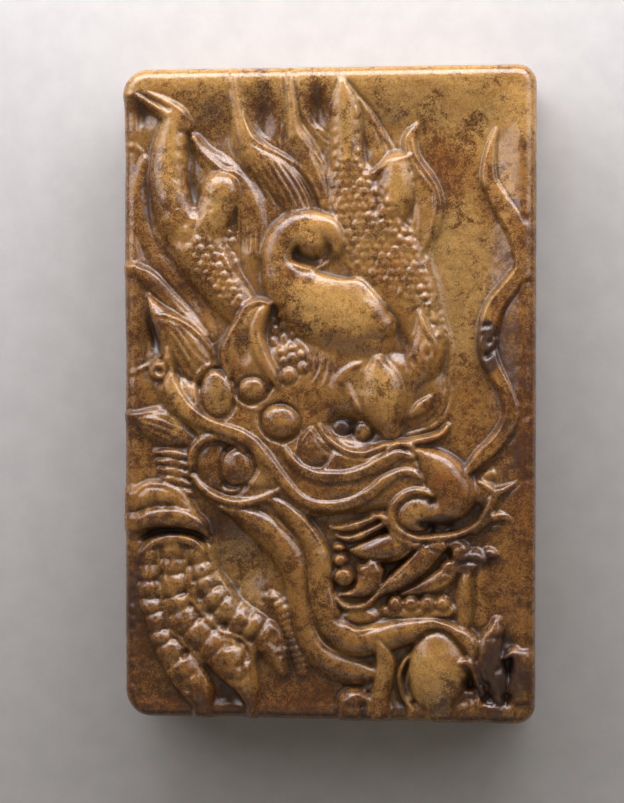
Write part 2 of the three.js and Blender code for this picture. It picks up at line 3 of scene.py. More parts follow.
import bpy
import numpy as np
from mathutils import Matrix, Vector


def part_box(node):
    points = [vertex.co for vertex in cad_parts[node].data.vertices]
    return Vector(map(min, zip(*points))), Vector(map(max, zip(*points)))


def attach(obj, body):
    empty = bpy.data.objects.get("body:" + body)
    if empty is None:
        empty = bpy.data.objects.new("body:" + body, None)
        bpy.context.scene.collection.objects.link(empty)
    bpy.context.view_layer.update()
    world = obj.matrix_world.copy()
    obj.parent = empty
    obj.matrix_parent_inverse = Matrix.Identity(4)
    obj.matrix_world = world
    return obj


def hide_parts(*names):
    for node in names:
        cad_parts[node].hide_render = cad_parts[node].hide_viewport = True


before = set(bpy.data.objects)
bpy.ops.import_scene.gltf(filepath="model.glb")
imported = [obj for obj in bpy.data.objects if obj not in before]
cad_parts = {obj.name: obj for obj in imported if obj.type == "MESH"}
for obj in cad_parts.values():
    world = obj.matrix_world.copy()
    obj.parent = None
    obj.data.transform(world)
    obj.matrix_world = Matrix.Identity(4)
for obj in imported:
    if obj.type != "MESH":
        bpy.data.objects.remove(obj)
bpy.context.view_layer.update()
mm = 0.001

# A carved jade plaque lying on its plain back, carved face up, head edge toward +Y.
plaque = {
    "thickness": 11.0, "leftCorner": 2.6, "rightCorner": 1.9, "faceEdge": 1.3, "backEdge": 0.7,  # millimetres
    "reliefDepth": 3.3, "openGround": 1.15, "fullGround": 2.6, "footLevel": 2.0,
    "gridStep": 0.1,  # of the height grid that is carved
    "cellsAcross": 226, "cellsUp": 358, "edgeSteps": 6, "wallSteps": 3, "backSteps": 3,
    "wobble": 0.10, "wobbleSize": 1.3,  # how far a hand-cut line strays, and over what length
    "evenBand": (0.6, 2.2), "evenShare": 0.6,  # how near the outline, and how much, the levels draw together
    "wear": 0.3, "wearSize": 0.55, "softening": 0.2, "softenedSizes": (0.22, 1.2),
    "toolMarks": 0.016, "toolMarkSizes": (0.5, 0.22), "polish": 0.09,
}


# Curves and soft steps

def splineThrough(points, perSpan=7):  # Catmull-Rom through rows of any width
    p = np.array(points, float)
    if len(p) < 3:
        t = np.linspace(0, 1, perSpan + 1)[:, None]
        return p[0] + (p[-1] - p[0]) * t
    ext = np.vstack([2 * p[0] - p[1], p, 2 * p[-1] - p[-2]])
    rows = []
    for i in range(len(p) - 1):
        a, b, c, d = ext[i:i + 4]
        for k in range(perSpan):
            t = k / perSpan
            rows.append(0.5 * (2 * b + (c - a) * t + (2 * a - 5 * b + 4 * c - d) * t ** 2
                               + (3 * b - a - 3 * c + d) * t ** 3))
    rows.append(p[-1])
    return np.array(rows)


def smooth(low, high, value):
    t = np.clip((value - low) / (high - low), 0, 1)
    return t * t * (3 - 2 * t)


def blurred(grid, sigma):  # gaussian, sigma in grid cells
    n = max(1, int(3 * sigma + 0.5))
    k = np.exp(-0.5 * (np.arange(-n, n + 1) / sigma) ** 2)
    k /= k.sum()
    for axis in (0, 1):
        pad = [(n, n) if i == axis else (0, 0) for i in (0, 1)]
        p = np.pad(grid, pad, mode="edge")
        size = grid.shape[axis]
        grid = sum(w * (p[i:i + size] if axis == 0 else p[:, i:i + size]) for i, w in enumerate(k))
    return grid


def softNoise(shape, sigma, seed):  # smooth noise of unit spread
    field = blurred(np.random.default_rng(seed).normal(size=shape), sigma)
    return (field - field.mean()) / field.std()


sections = {  # height across a form, from 1 at its middle to 0 at its edge
    "round": lambda a: np.sqrt(np.clip(1 - a * a, 0, 1)),
    "soft": lambda a: np.clip(1 - a * a, 0, 1),
    "bell": lambda a: np.clip(1 - a * a, 0, 1) ** 2,
    "flat": lambda a: np.clip(1 - a ** 4, 0, 1) ** 0.5,
}


def laidOver(before, surface, inside, join):  # join is how softly the new form grows out of the old
    if join:
        share = np.clip(0.5 + 0.5 * (surface - before) / join, 0, 1)
        surface = before + (surface - before) * share + join * share * (1 - share)
    return before + (surface - before) * inside


class Face:  # the carved face as a grid of heights in millimetres, x right and y up from its middle
    def __init__(self, width, height, step, stray=0.0, straySize=1.0):
        self.step = step
        self.xs = np.arange(-width / 2 - step, width / 2 + 1.5 * step, step)
        self.ys = np.arange(-height / 2 - step, height / 2 + 1.5 * step, step)
        self.gridX, self.gridY = np.meshgrid(self.xs, self.ys)
        self.heights = np.zeros_like(self.gridX)
        if stray:
            self.gridX = self.gridX + stray * softNoise(self.heights.shape, straySize / step, 3)
            self.gridY = self.gridY + stray * softNoise(self.heights.shape, straySize / step, 4)

    def window(self, left, bottom, right, top):
        i0, i1 = np.searchsorted(self.xs, [left - 0.4, right + 0.4])
        j0, j1 = np.searchsorted(self.ys, [bottom - 0.4, top + 0.4])
        return slice(j0, max(j1, j0 + 1)), slice(i0, max(i1, i0 + 1))

    def along(self, points, reach=1.0):  # nearest place on a curve, for each point near it
        path = splineThrough(points)
        xy, extra = path[:, :2], path[:, 2:]
        grow = (extra[:, 0].max() if extra.shape[1] else 0) + reach
        low, high = xy.min(axis=0) - grow, xy.max(axis=0) + grow
        win = self.window(*low, *high)
        gridX, gridY = self.gridX[win], self.gridY[win]
        best = np.full(gridX.shape, 1e9)
        side = np.zeros(gridX.shape)
        place = np.zeros(gridX.shape)
        values = np.zeros(gridX.shape + (extra.shape[1],))
        lengths = np.hypot(*np.diff(xy, axis=0).T)
        run = np.concatenate([[0], np.cumsum(lengths)])
        for k in range(len(xy) - 1):
            ax, ay = xy[k]
            dx, dy = xy[k + 1] - xy[k]
            t = np.clip(((gridX - ax) * dx + (gridY - ay) * dy) / (dx * dx + dy * dy + 1e-12), 0, 1)
            ex, ey = gridX - ax - t * dx, gridY - ay - t * dy
            d = np.hypot(ex, ey)
            near = d < best
            best = np.where(near, d, best)
            side = np.where(near, np.sign(dx * ey - dy * ex), side)
            place = np.where(near, run[k] + t * lengths[k], place)
            for c in range(extra.shape[1]):
                here = extra[k, c] + t * (extra[k + 1, c] - extra[k, c])
                values[..., c] = np.where(near, here, values[..., c])
        return win, best, side, place, run[-1], values

    # a solid form laid over what is there: points are x, y, half width and height of the crest
    def form(self, points, drop=1.0, section="round", strands=0, strandDepth=0.12, strandFrom=0.0,
             ribs=0.0, ribDepth=0.2, ribsTo=1.0, phase=0.0, edge=0.16, blend=0.0, join=0.0, rims=0.0):
        win, d, side, place, total, v = self.along(points)
        half, crest = np.maximum(v[..., 0], 0.05), v[..., 1]
        a = d / half
        surface = crest - drop + drop * sections[section](np.minimum(a, 1))
        inside = smooth(0, 1, (half + edge - d) / (2 * edge))
        s = place / max(total, 1e-6)
        if rims:  # raised edges along a band
            surface = surface + rims * (np.exp(-((a - .8) / .15) ** 2) - .4 * smooth(.75, .2, a))
        if strands:
            wave = 0.5 - 0.5 * np.cos(math.pi * strands * (side * a + 1))
            begun = smooth(strandFrom, strandFrom + 0.15, s)
            surface = surface - strandDepth * (1 - wave) * begun * smooth(1.05, 0.8, a)
        if ribs:
            wave = np.abs(np.cos(math.pi * (place / ribs + phase + 0.1 * np.sin(1.9 * place + 7 * phase))))
            cut = 1 - np.sqrt(np.clip(1 - wave ** 6, 0, 1)) + 0.25 * wave
            stop = smooth(ribsTo + 0.05, ribsTo - 0.02, s) if ribsTo < 1 else 1
            surface = surface - ribDepth * cut * stop
        if blend:  # its start grows out of what is under it
            inside = inside * smooth(0, blend, s)
        self.heights[win] = laidOver(self.heights[win], surface, inside, join)

    # a raised line that follows what is under it, a fine cut down each side: points are x, y and half width
    def ridge(self, points, height=0.35, moat=0.12):
        win, d, _, place, total, v = self.along(points, reach=1.2)
        half = np.maximum(v[..., 0], 0.05)
        a = d / half
        s = place / max(total, 1e-6)
        ends = smooth(0, 0.08, s) * smooth(1, 0.92, s)
        bump = height * sections["soft"](np.minimum(a, 1)) * np.minimum(1, half / (0.5 * v[..., 0].max()))
        cut = moat * np.exp(-((d - half * 1.15) / 0.16) ** 2)
        self.heights[win] += bump * (0.35 + 0.65 * ends) - cut * ends

    # an incised line: points are x, y and half width
    def groove(self, points, depth=0.3, section="bell"):
        win, d, _, place, total, v = self.along(points)
        half = np.maximum(v[..., 0], 0.05)
        s = place / max(total, 1e-6)
        ends = smooth(0, 0.1, s) * smooth(1, 0.9, s)
        self.heights[win] -= depth * sections[section](np.minimum(d / half, 1)) * (0.25 + 0.75 * ends)

    def ellipse(self, x, y, rx, ry, turn=0.0, reach=1.6):
        c, s = math.cos(math.radians(turn)), math.sin(math.radians(turn))
        grow = max(rx, ry) * reach
        win = self.window(x - grow, y - grow, x + grow, y + grow)
        u = ((self.gridX[win] - x) * c + (self.gridY[win] - y) * s) / rx
        v = (-(self.gridX[win] - x) * s + (self.gridY[win] - y) * c) / ry
        return win, np.hypot(u, v)

    # a dome laid over what is there
    def dome(self, x, y, rx, ry, crest, drop=1.0, turn=0.0, section="round", moat=0.0, edge=0.14, join=0.0):
        win, a = self.ellipse(x, y, rx, ry, turn)
        surface = crest - drop + drop * sections[section](np.minimum(a, 1))
        soft = edge / min(rx, ry)
        inside = smooth(1 + soft, 1 - soft, a)
        cut = moat * np.exp(-((a - 1.08) * min(rx, ry) / 0.18) ** 2)
        self.heights[win] = laidOver(self.heights[win], surface, inside, join) - cut

    # a swelling or a hollow that follows what is under it
    def swell(self, x, y, rx, ry, height, turn=0.0, section="bell"):
        win, a = self.ellipse(x, y, rx, ry, turn, reach=1.05)
        self.heights[win] += height * sections[section](np.minimum(a, 1))

    def bead(self, x, y, r, height=0.3, moat=0.1, stretch=1.0, turn=0.0):
        win, a = self.ellipse(x, y, r, r * stretch, turn, reach=1.9)
        cut = moat * np.exp(-((a - 1.12) * r / 0.13) ** 2)
        self.heights[win] += height * sections["round"](np.minimum(a, 1)) - cut

    def beadRow(self, points, r=0.42, pitch=0.95, height=0.28, moat=0.1, shift=0.0, seed=0):
        path = splineThrough(points, 12)
        run = np.concatenate([[0], np.cumsum(np.hypot(*np.diff(path[:, :2], axis=0).T))])
        rng = np.random.default_rng(seed)
        at = shift * pitch
        while at < run[-1]:
            x, y = np.interp(at, run, path[:, 0]), np.interp(at, run, path[:, 1])
            jx, jy, jr, jh = rng.uniform(-1, 1, 4)
            self.bead(x + 0.1 * jx, y + 0.1 * jy, r * (1 + 0.16 * jr), height * (1 + 0.35 * jh), moat,
                      stretch=1 + 0.2 * jy, turn=90 * jx)
            at += pitch

    # irregular little cells inside a band, a cut between each and the next: points are x, y and half width
    def honeycomb(self, points, pitch=0.95, height=0.2, cut=0.14, seed=0):
        win, d, _, _, _, v = self.along(points)
        gridX, gridY = self.gridX[win], self.gridY[win]
        rng = np.random.default_rng(seed)
        first, second = np.full(gridX.shape, 9.0), np.full(gridX.shape, 9.0)  # how far to the nearest two
        tall = np.ones(gridX.shape)
        for i, y in enumerate(np.arange(gridY.min(), gridY.max(), 0.86 * pitch)):
            for x in np.arange(gridX.min() + 0.5 * pitch * (i % 2), gridX.max(), pitch):
                jx, jy, jh = rng.uniform(-1, 1, 3)
                away = np.hypot(gridX - x - 0.17 * pitch * jx, gridY - y - 0.17 * pitch * jy)
                second = np.minimum(second, np.maximum(first, away))
                tall = np.where(away < first, 1 + 0.45 * jh, tall)
                first = np.minimum(first, away)
        cell = height * tall * np.sqrt(np.clip(1 - (first / (0.6 * pitch)) ** 2, 0, 1))
        cell = cell - cut * smooth(0.24, 0.02, second - first)
        self.heights[win] += cell * smooth(0, 0.5, v[..., 0] - d)

    # fine parallel hairs between two edge curves with as many points each
    def hairs(self, left, right, count, height=0.13, half=0.15, moat=0.07):
        for k in range(count):
            t = (k + 0.5) / count
            hair = []
            for i, (a, b) in enumerate(zip(left, right)):
                taper = .6 if i in (0, len(left) - 1) else 1
                hair.append((a[0] + (b[0] - a[0]) * t, a[1] + (b[1] - a[1]) * t, half * taper))
            self.ridge(hair, height * (1 + .3 * math.sin(5.3 * k)), moat)

    # a smooth hollow whose floor rises toward one side
    def scoop(self, x, y, rx, ry, floor, rise, toward, turn=0.0, edge=0.22):
        win, a = self.ellipse(x, y, rx, ry, turn)
        c, s = math.cos(math.radians(toward)), math.sin(math.radians(toward))
        surface = floor + rise * ((self.gridX[win] - x) * c + (self.gridY[win] - y) * s) + 0.2 * a * a
        inside = smooth(1 + edge / min(rx, ry), 1 - edge / min(rx, ry), a)
        self.heights[win] += (np.minimum(self.heights[win], surface) - self.heights[win]) * inside

    # small hollows and crumbs of a worn or stained place
    def pitted(self, x, y, rx, ry, depth, size=0.22, seed=0):
        win, a = self.ellipse(x, y, rx, ry, reach=1.05)
        grain = softNoise(a.shape, size / self.step, seed)
        self.heights[win] -= depth * smooth(0.1, 1.6, grain) * smooth(1, 0.6, a)

    def at(self, x, y, grid=None):  # value at any place
        grid = self.heights if grid is None else grid
        i = np.clip((x - self.xs[0]) / self.step, 0, len(self.xs) - 1.001)
        j = np.clip((y - self.ys[0]) / self.step, 0, len(self.ys) - 1.001)
        i0, j0 = i.astype(int), j.astype(int)
        s, t = i - i0, j - j0
        return ((grid[j0, i0] * (1 - s) + grid[j0, i0 + 1] * s) * (1 - t)
                + (grid[j0 + 1, i0] * (1 - s) + grid[j0 + 1, i0 + 1] * s) * t)


# Plain ground: full height along the head edge and the right edge, dished toward the dragon's head

ground = {
    "headRise": (25.0, 31.5), "rightRise": (15.5, 20.0), "rightFoot": (-30, -10),  # from open to full height
    "hollows": [(-19.6, 21.0, 1.5, 6, -0.8, 0), (-19, 4.5, 2.2, 4, -0.6, 0),
                (-9, -17.5, 4.6, 5.4, -1.0, -20), (13.5, 9, 3.6, 13, -0.25, 0),
                (-9.8, -30.3, 2.2, 3.2, -0.8, 0), (-2.5, -30.3, 4.4, 2.6, 0.25, 0),
                (6.5, -16, 7.5, 6.0, -0.9, 0), (-6.3, 28.6, 1.5, 4.2, -0.9, 0),
                (-0.9, 28.8, 1.2, 3.1, -0.9, 0), (-18.5, 28.4, 1.9, 2.2, -0.9, 20),
                (-11.6, 26.6, 2.4, 3.6, -0.5, 10), (6.8, 26.6, 1.6, 1.8, -.3, 0)],
}


def carveGround(face):
    headEdge = smooth(*ground["headRise"], face.gridY)
    rightEdge = smooth(*ground["rightRise"], face.gridX) * smooth(*ground["rightFoot"], face.gridY)
    rise = 1 - (1 - headEdge) * (1 - rightEdge)
    face.heights[:] = plaque["openGround"] + (plaque["fullGround"] - plaque["openGround"]) * rise
    for place in ground["hollows"]:
        face.swell(*place)


# Locks of the mane, from the left edge to the flame beside the right antler

mane = {
    "edgeLock": [(-18.5, 23.8, .5, 1.5), (-18.9, 20.5, .75, 1.3), (-18.8, 17.5, .9, 1.3),
                 (-18.0, 15.0, 1.0, 1.4), (-16.6, 12.9, 1.2, 1.5), (-14.8, 10.7, 1.5, 1.5),
                 (-13.0, 8.2, 1.3, 1.5), (-11.6, 6.0, .8, 1.5)],
    "edgeLockLines": [
        [(-20.2, 26.4, .14), (-19.8, 25.6, .26), (-18.9, 24.7, .3), (-18.2, 23.7, .28), (-18.2, 21.6, .2),
         (-18.4, 19.4, .14)],
        [(-19.9, 22.6, .1), (-19.7, 20.0, .14), (-19.6, 17.2, .12)],
    ],
    "edgeCurl": [(-20.6, 14.6, .12, 2.3), (-19.7, 13.0, .4, 2.3), (-18.5, 11.9, .85, 2.2),
                 (-17.0, 10.7, .95, 2.0), (-15.4, 9.2, .9, 1.8), (-13.8, 7.6, .8, 1.7),
                 (-12.2, 6.0, .5, 1.6)],
    "edgeCurlRim": [(-20.5, 14.3, .12), (-20.0, 13.4, .18), (-19.3, 12.6, .22), (-18.2, 12.4, .2),
                    (-17.0, 11.9, .15)],
    "antlerLock": [(-7.7, 11.6, .8, 1.5), (-7.6, 13.6, 1.1, 1.6), (-7.5, 15.8, 1.4, 1.7),
                   (-7.9, 18.2, 1.8, 1.8), (-9.0, 20.3, 1.9, 1.8), (-10.8, 22.4, 1.6, 1.8),
                   (-12.4, 24.0, .9, 1.9), (-13.4, 25.8, .5, 2.0)],
    "antlerLockRim": [(-13.9, 27.4, .16), (-13.5, 26.0, .26), (-12.8, 24.4, .34), (-11.6, 23.2, .36),
                      (-10.6, 22.4, .36), (-9.2, 22.1, .22), (-7.4, 20.0, .2), (-6.5, 17.9, .2),
                      (-6.2, 16.0, .14)],
    "antlerHairs": ([(-10.4, 22.0), (-9.6, 20.2), (-9.3, 17.6), (-9.2, 14.4)],
                    [(-9.2, 22.0), (-7.3, 19.5), (-6.5, 17.0), (-6.6, 13.6)], 6),
    "firstFlame": [(-9.2, 31.6, .5, 2.8), (-8.95, 29.6, .75, 2.7), (-8.8, 27.6, .85, 2.55),
                   (-8.2, 25.6, 1.3, 2.5), (-7.0, 23.8, 1.7, 2.4), (-5.2, 22.1, 1.9, 2.2),
                   (-3.5, 20.2, 1.9, 2.1), (-2.5, 18.2, 1.5, 1.8)],
    "firstFlameLines": [
        [(-8.7, 31.4, .16), (-8.25, 29.4, .22), (-8.1, 27.5, .26), (-7.3, 25.8, .3), (-6.1, 24.85, .32),
         (-4.7, 24.0, .3), (-2.6, 22.4, .26), (-1.3, 20.7, .22), (-.5, 18.9, .14)],
        [(-7.8, 31.0, .1), (-7.5, 29.4, .14), (-7.4, 27.6, .16), (-6.8, 26.3, .18), (-5.4, 25.1, .16),
         (-4.2, 24.4, .12)],
        [(-9.75, 31.2, .12), (-9.55, 29.4, .18), (-9.5, 27.4, .2), (-9.6, 25.4, .2), (-9.2, 23.8, .2),
         (-8.3, 22.5, .18), (-7.2, 21.2, .12)],
        [(-10.5, 31.0, .1), (-10.15, 29.8, .14), (-10.0, 27.6, .14), (-10.05, 25.4, .12)],
    ],
    "firstHairs": ([(-8.3, 23.4), (-7.4, 21.6), (-6.3, 20.0), (-5.4, 18.6)],
                   [(-3.4, 22.9), (-2.0, 21.4), (-1.2, 20.0), (-.7, 18.4)], 7),
    "secondFlame": [(-3.9, 31.8, .45, 2.85), (-3.7, 30.2, .65, 2.75), (-3.5, 28.4, .75, 2.65),
                    (-3.3, 26.8, .85, 2.5), (-2.6, 24.8, 1.4, 2.1), (-1.4, 22.5, 1.5, 1.9),
                    (-0.6, 20.4, 1.2, 1.8), (-0.2, 18.8, .7, 1.6)],
    "secondFlameLines": [
        [(-2.8, 31.2, .14), (-2.65, 29.8, .22), (-2.35, 28.2, .28), (-1.6, 27.0, .3), (-.5, 26.1, .26),
         (.2, 25.4, .14)],
        [(-4.7, 31.2, .1), (-4.4, 29.6, .18), (-4.3, 27.6, .2), (-4.5, 25.8, .18), (-4.6, 24.4, .12)],
        [(-5.0, 30.6, .08), (-4.85, 28.6, .12), (-4.9, 26.6, .1)],
    ],
    "comb": ([(-3.4, 26.6), (-2.7, 25.3), (-1.6, 24.1), (-.6, 22.8)],
             [(-2.2, 28.0), (-1.6, 26.9), (-.8, 25.9), (.3, 25.0)], 5),
    "combLong": ([(-4.0, 25.2), (-3.0, 23.2), (-1.7, 21.2), (-.7, 19.0)],
                 [(-2.9, 26.2), (-1.7, 24.2), (-.6, 21.8), (.2, 19.2)], 6),
    "prongLock": [(2.4, 30.9, .2, 2.3), (3.4, 29.0, .5, 2.1), (4.3, 27.0, 1.0, 1.85), (4.9, 24.8, 1.4, 1.6),
                  (4.9, 22.6, 1.5, 1.5), (4.6, 20.8, 1.0, 1.4)],
    "prongLines": [
        [(1.9, 31.3, .12), (3.0, 29.8, .2), (4.1, 28.1, .28), (5.1, 26.7, .3), (6.0, 25.4, .26),
         (6.9, 23.8, .14)],
        [(3.8, 27.6, .12), (4.9, 26.9, .2), (5.5, 25.7, .22), (5.9, 24.2, .14)],
        [(3.9, 27.0, .12), (3.8, 26.0, .2), (4.2, 24.9, .2), (4.6, 23.9, .14)],
        [(4.7, 26.6, .1), (4.9, 25.4, .18), (5.2, 24.2, .12)],
    ],
    "rightFlame": [(9.0, 27.0, .12, 1.9), (8.4, 26.1, .4, 2.1), (8.1, 25.0, .6, 2.1), (8.6, 23.2, .8, 2.0),
                   (9.5, 21.3, 1.2, 1.95), (9.9, 19.2, 1.4, 1.9), (9.7, 17.0, 1.4, 1.85),
                   (8.9, 15.0, 1.1, 1.8)],
    "neckRim": [(9.05, 27.1, .14), (8.7, 26.0, .22), (8.65, 24.6, .26), (9.3, 23.0, .28), (10.5, 21.2, .28),
                (11.2, 19.3, .28), (11.1, 16.8, .26), (10.2, 14.4, .26), (10.0, 12.2, .28),
                (11.0, 9.6, .28), (11.8, 7.0, .28), (12.3, 4.3, .28), (12.1, 1.2, .26), (11.3, -1.8, .24),
                (10.4, -3.4, .16)],
    "neckRimSecond": [(8.2, 26.2, .1), (7.8, 25.2, .18), (8.1, 24.0, .22), (8.9, 22.4, .3),
                      (9.6, 21.4, .28), (10.3, 20.4, .2), (10.6, 18.8, .16), (10.5, 16.9, .16),
                      (9.8, 15.2, .14)],
    "rightHairs": ([(8.6, 20.6), (9.0, 18.4), (9.0, 16.4), (8.4, 14.4)],
                   [(10.6, 20.4), (10.7, 18.2), (10.5, 16.2), (9.8, 14.2)], 5),
}


def carveMane(face):
    face.form(mane["edgeLock"], drop=.6, section="soft", strands=4, strandDepth=.14, strandFrom=.3)
    for line in mane["edgeLockLines"]:
        face.ridge(line, height=.24, moat=.08)
    face.form(mane["edgeCurl"], drop=1.0, strands=3, strandFrom=.3, strandDepth=.2)
    face.ridge(mane["edgeCurlRim"], height=.2)
    face.form(mane["antlerLock"], drop=.6, section="soft", blend=.15)
    face.hairs(*mane["antlerHairs"], height=.34, half=.22, moat=.18)
    face.ridge(mane["antlerLockRim"], height=.34, moat=.1)
    face.form(mane["firstFlame"], drop=1.05, section="soft", edge=.3)
    face.form(mane["secondFlame"], drop=.95, section="soft", edge=.3)
    for line, height in zip(mane["firstFlameLines"], (.4, .2, .3, .18)):
        face.ridge(line, height, moat=.1)
    face.hairs(*mane["firstHairs"], height=.34, half=.24, moat=.18)
    for line, height in zip(mane["secondFlameLines"], (.34, .24, .14)):
        face.ridge(line, height, moat=.09)
    face.hairs(*mane["comb"], height=.4, half=.26, moat=.2)
    face.hairs(*mane["combLong"], height=.3, half=.24, moat=.16)
    face.form(mane["prongLock"], drop=.6, section="soft", edge=.3)
    for line, height in zip(mane["prongLines"], (.34, .24, .22, .16)):
        face.ridge(line, height, moat=.1)
    face.form(mane["rightFlame"], drop=.4, section="flat", edge=.3)
    face.hairs(*mane["rightHairs"], height=.28, half=.24, moat=.14)
    face.ridge(mane["neckRim"], height=.3, moat=.08)
    face.ridge(mane["neckRimSecond"], height=.24, moat=.08)


# The neck behind the right antler, with its little cells

neck = {
    "body": [(2.2, 21.5, 2.2, 2.0), (3.4, 17.5, 3.4, 2.1), (5.2, 14.2, 4.0, 2.1), (7.2, 11.4, 3.4, 2.2),
             (8.8, 8.6, 2.4, 2.2), (9.8, 5.6, 1.9, 2.2), (10.0, 2.8, 1.2, 2.0)],
    "cells": [(1.9, 23.4, 1.0), (2.2, 22.2, 2.0), (2.8, 20.2, 2.9), (4.2, 17.0, 3.7), (6.0, 14.2, 3.6),
              (8.0, 11.8, 2.6), (9.7, 9.8, 1.5), (10.9, 7.8, 1.0), (11.4, 5.6, .8)],
    "cellSize": {"pitch": .92, "height": .21, "cut": .17},
}


def carveNeck(face):
    face.form(neck["body"], drop=.6, section="flat", edge=.9)


def carveNeckBeads(face):
    face.honeycomb(neck["cells"], seed=5, **neck["cellSize"])


# The two antlers

rightAntler = {
    "innerProng": [(2.5, 20.4, 1.3, 2.1), (2.0, 22.4, 1.6, 2.3), (1.85, 24.6, 1.7, 2.45),
                   (1.85, 26.8, 1.7, 2.65), (1.8, 28.8, 1.5, 2.8), (1.7, 30.1, 1.15, 2.85),
                   (1.65, 31.0, .6, 2.8)],
    "outerProng": [(6.0, 16.4, 1.5, 2.2), (6.3, 18.0, 1.8, 2.35), (6.7, 19.6, 1.95, 2.6),
                   (6.8, 21.4, 1.95, 2.75), (6.9, 22.6, 1.6, 2.75)],
    "cap": [(4.2, 21.9, .2, 2.1), (5.2, 22.6, .3, 2.3), (6.1, 23.2, .36, 2.55), (7.3, 23.4, .38, 2.6),
            (8.4, 23.8, .2, 2.4)],
    "knobs": [(.65, 28.5, .42, .2, 1.7), (.6, 26.3, .42, .24, 1), (.7, 25.0, .4, .22, 1),
              (.55, 23.8, .42, .22, 1), (.9, 22.6, .42, .2, 1), (3.0, 28.2, .4, .16, 1.8),
              (3.05, 24.1, .46, .22, 1), (3.2, 25.6, .36, .12, 1), (3.3, 22.6, .42, .16, 1),
              (4.4, 21.8, .5, .24, 1), (4.7, 20.3, .5, .22, 1), (4.5, 18.9, .44, .2, 1),
              (8.6, 21.8, .34, .12, 1.6)],
    "foot": [(5.4, 19.6, .5), (6.0, 17.8, 1.4), (7.2, 16.6, 1.6), (8.2, 15.6, 1.2)],
}
leftAntler = {
    "trunk": [(-7.6, 6.8, 1.4, 2.1), (-9.0, 9.0, 2.0, 2.3), (-10.6, 11.0, 2.3, 2.4),
              (-12.0, 13.0, 2.5, 2.45), (-13.2, 15.0, 2.6, 2.5), (-13.8, 16.8, 2.3, 2.5)],
    "outerProng": [(-14.2, 15.6, 1.8, 2.5), (-15.1, 17.4, 2.1, 2.6), (-15.8, 19.4, 2.05, 2.7),
                   (-16.05, 21.4, 1.95, 2.75), (-16.0, 23.6, 1.8, 2.8), (-15.7, 25.6, 1.55, 2.8),
                   (-15.35, 27.2, 1.3, 2.8), (-15.2, 28.2, .9, 2.7)],
    "innerProng": [(-12.4, 14.8, 1.6, 2.5), (-12.1, 16.4, 1.7, 2.55), (-11.6, 18.0, 1.75, 2.65),
                   (-11.1, 19.4, 1.8, 2.8), (-10.85, 20.5, 1.75, 2.9)],
    "head": (-10.85, 20.4, 1.8, 1.75, 3.1, 1.3),
    "tip": [(-20.2, 31.0, .3, 2.6), (-18.9, 30.3, .6, 2.55), (-17.4, 29.4, .9, 2.6),
            (-16.0, 28.5, 1.1, 2.75), (-14.9, 27.8, 1.1, 2.8), (-14.1, 27.0, .7, 2.5)],
    "tipRidges": [
        [(-20.2, 30.8, .2), (-19.2, 30.1, .34), (-17.8, 29.2, .36), (-16.8, 28.4, .2)],
        [(-18.3, 30.4, .2), (-16.8, 29.7, .4), (-15.3, 29.0, .42), (-14.3, 28.2, .34), (-13.8, 27.3, .16)],
    ],
    "tipGroove": [(-19.0, 30.5, .12), (-17.6, 29.6, .26), (-16.5, 28.9, .3), (-15.7, 28.3, .16)],
    "fork": [(-13.5, 20.6, .8, 2.2, -.5, 4), (-13.4, 18.3, .55, .9, -.4, 0),
             (-13.5, 23.4, .8, 1.6, -.3, 10)],
    "plates": [(-15.6, 17.4, 1.1), (-14.0, 16.2, .9), (-12.3, 17.2, .9), (-16.2, 15.9, .7),
               (-14.5, 14.5, .8), (-16.1, 19.6, 1.0), (-13.0, 14.9, .8), (-11.3, 18.4, .6)],
    "cells": [(-12.6, 14.6, 1.6), (-11.4, 12.8, 1.9), (-10.2, 10.9, 1.7), (-9.0, 9.0, 1.1)],
    "sideCells": [(-10.2, 18.4, .4), (-9.9, 16.6, .7), (-10.0, 14.8, 1.0), (-9.6, 12.8, .8)],
    "pits": [(-14.7, 26.3, .45, .4, -.3, 0), (-14.9, 24.2, .3, .3, -.2, 0), (-14.6, 22.9, .3, .34, -.25, 0),
             (-15.2, 21.6, .3, .3, -.22, 0), (-14.4, 20.6, .34, .4, -.26, 0),
             (-15.0, 18.8, .5, .3, -.26, 10), (-11.7, 18.5, .4, .24, -.28, 0),
             (-13.9, 15.9, .5, .3, -.22, 0), (-12.9, 17.9, .3, .5, -.24, 0)],
    "grit": [(-14.9, 23.0, .8, 3.6, .2), (-13.6, 16.0, 2.2, 1.6, .22), (-11.0, 20.2, 1.0, .8, .12)],
}


def carveRightAntler(face):
    face.form(rightAntler["innerProng"], drop=1.2, blend=.3, edge=.3)
    face.form(rightAntler["outerProng"], drop=1.0, section="soft", blend=.35, edge=.3)
    face.form(rightAntler["cap"], drop=.35, join=.15)
    for x, y, r, height, stretch in rightAntler["knobs"]:
        face.bead(x, y, r, height, moat=.09, stretch=stretch)
    face.honeycomb(rightAntler["foot"], pitch=1.1, height=.2, cut=.22, seed=12)


def carveLeftAntler(face):
    face.form(leftAntler["trunk"], drop=1.1, edge=.3)
    face.form(leftAntler["outerProng"], drop=1.5, blend=.2, join=.15)
    face.form(leftAntler["innerProng"], drop=1.3, blend=.3, join=.25)
    face.dome(*leftAntler["head"], join=.1)
    face.form(leftAntler["tip"], drop=.8, join=.2)
    for line in leftAntler["tipRidges"]:
        face.ridge(line, height=.3, moat=.08)
    face.groove(leftAntler["tipGroove"], depth=.5)
    for place in leftAntler["fork"] + leftAntler["pits"]:
        face.swell(*place)
    for x, y, r in leftAntler["plates"]:
        face.swell(x, y, r, r, .17, section="soft")
    face.honeycomb(leftAntler["cells"], pitch=.95, height=.28, cut=.24, seed=31)
    face.honeycomb(leftAntler["sideCells"], pitch=.85, height=.26, cut=.2, seed=32)
    for i, place in enumerate(leftAntler["grit"]):
        face.pitted(*place, size=.2, seed=50 + i)


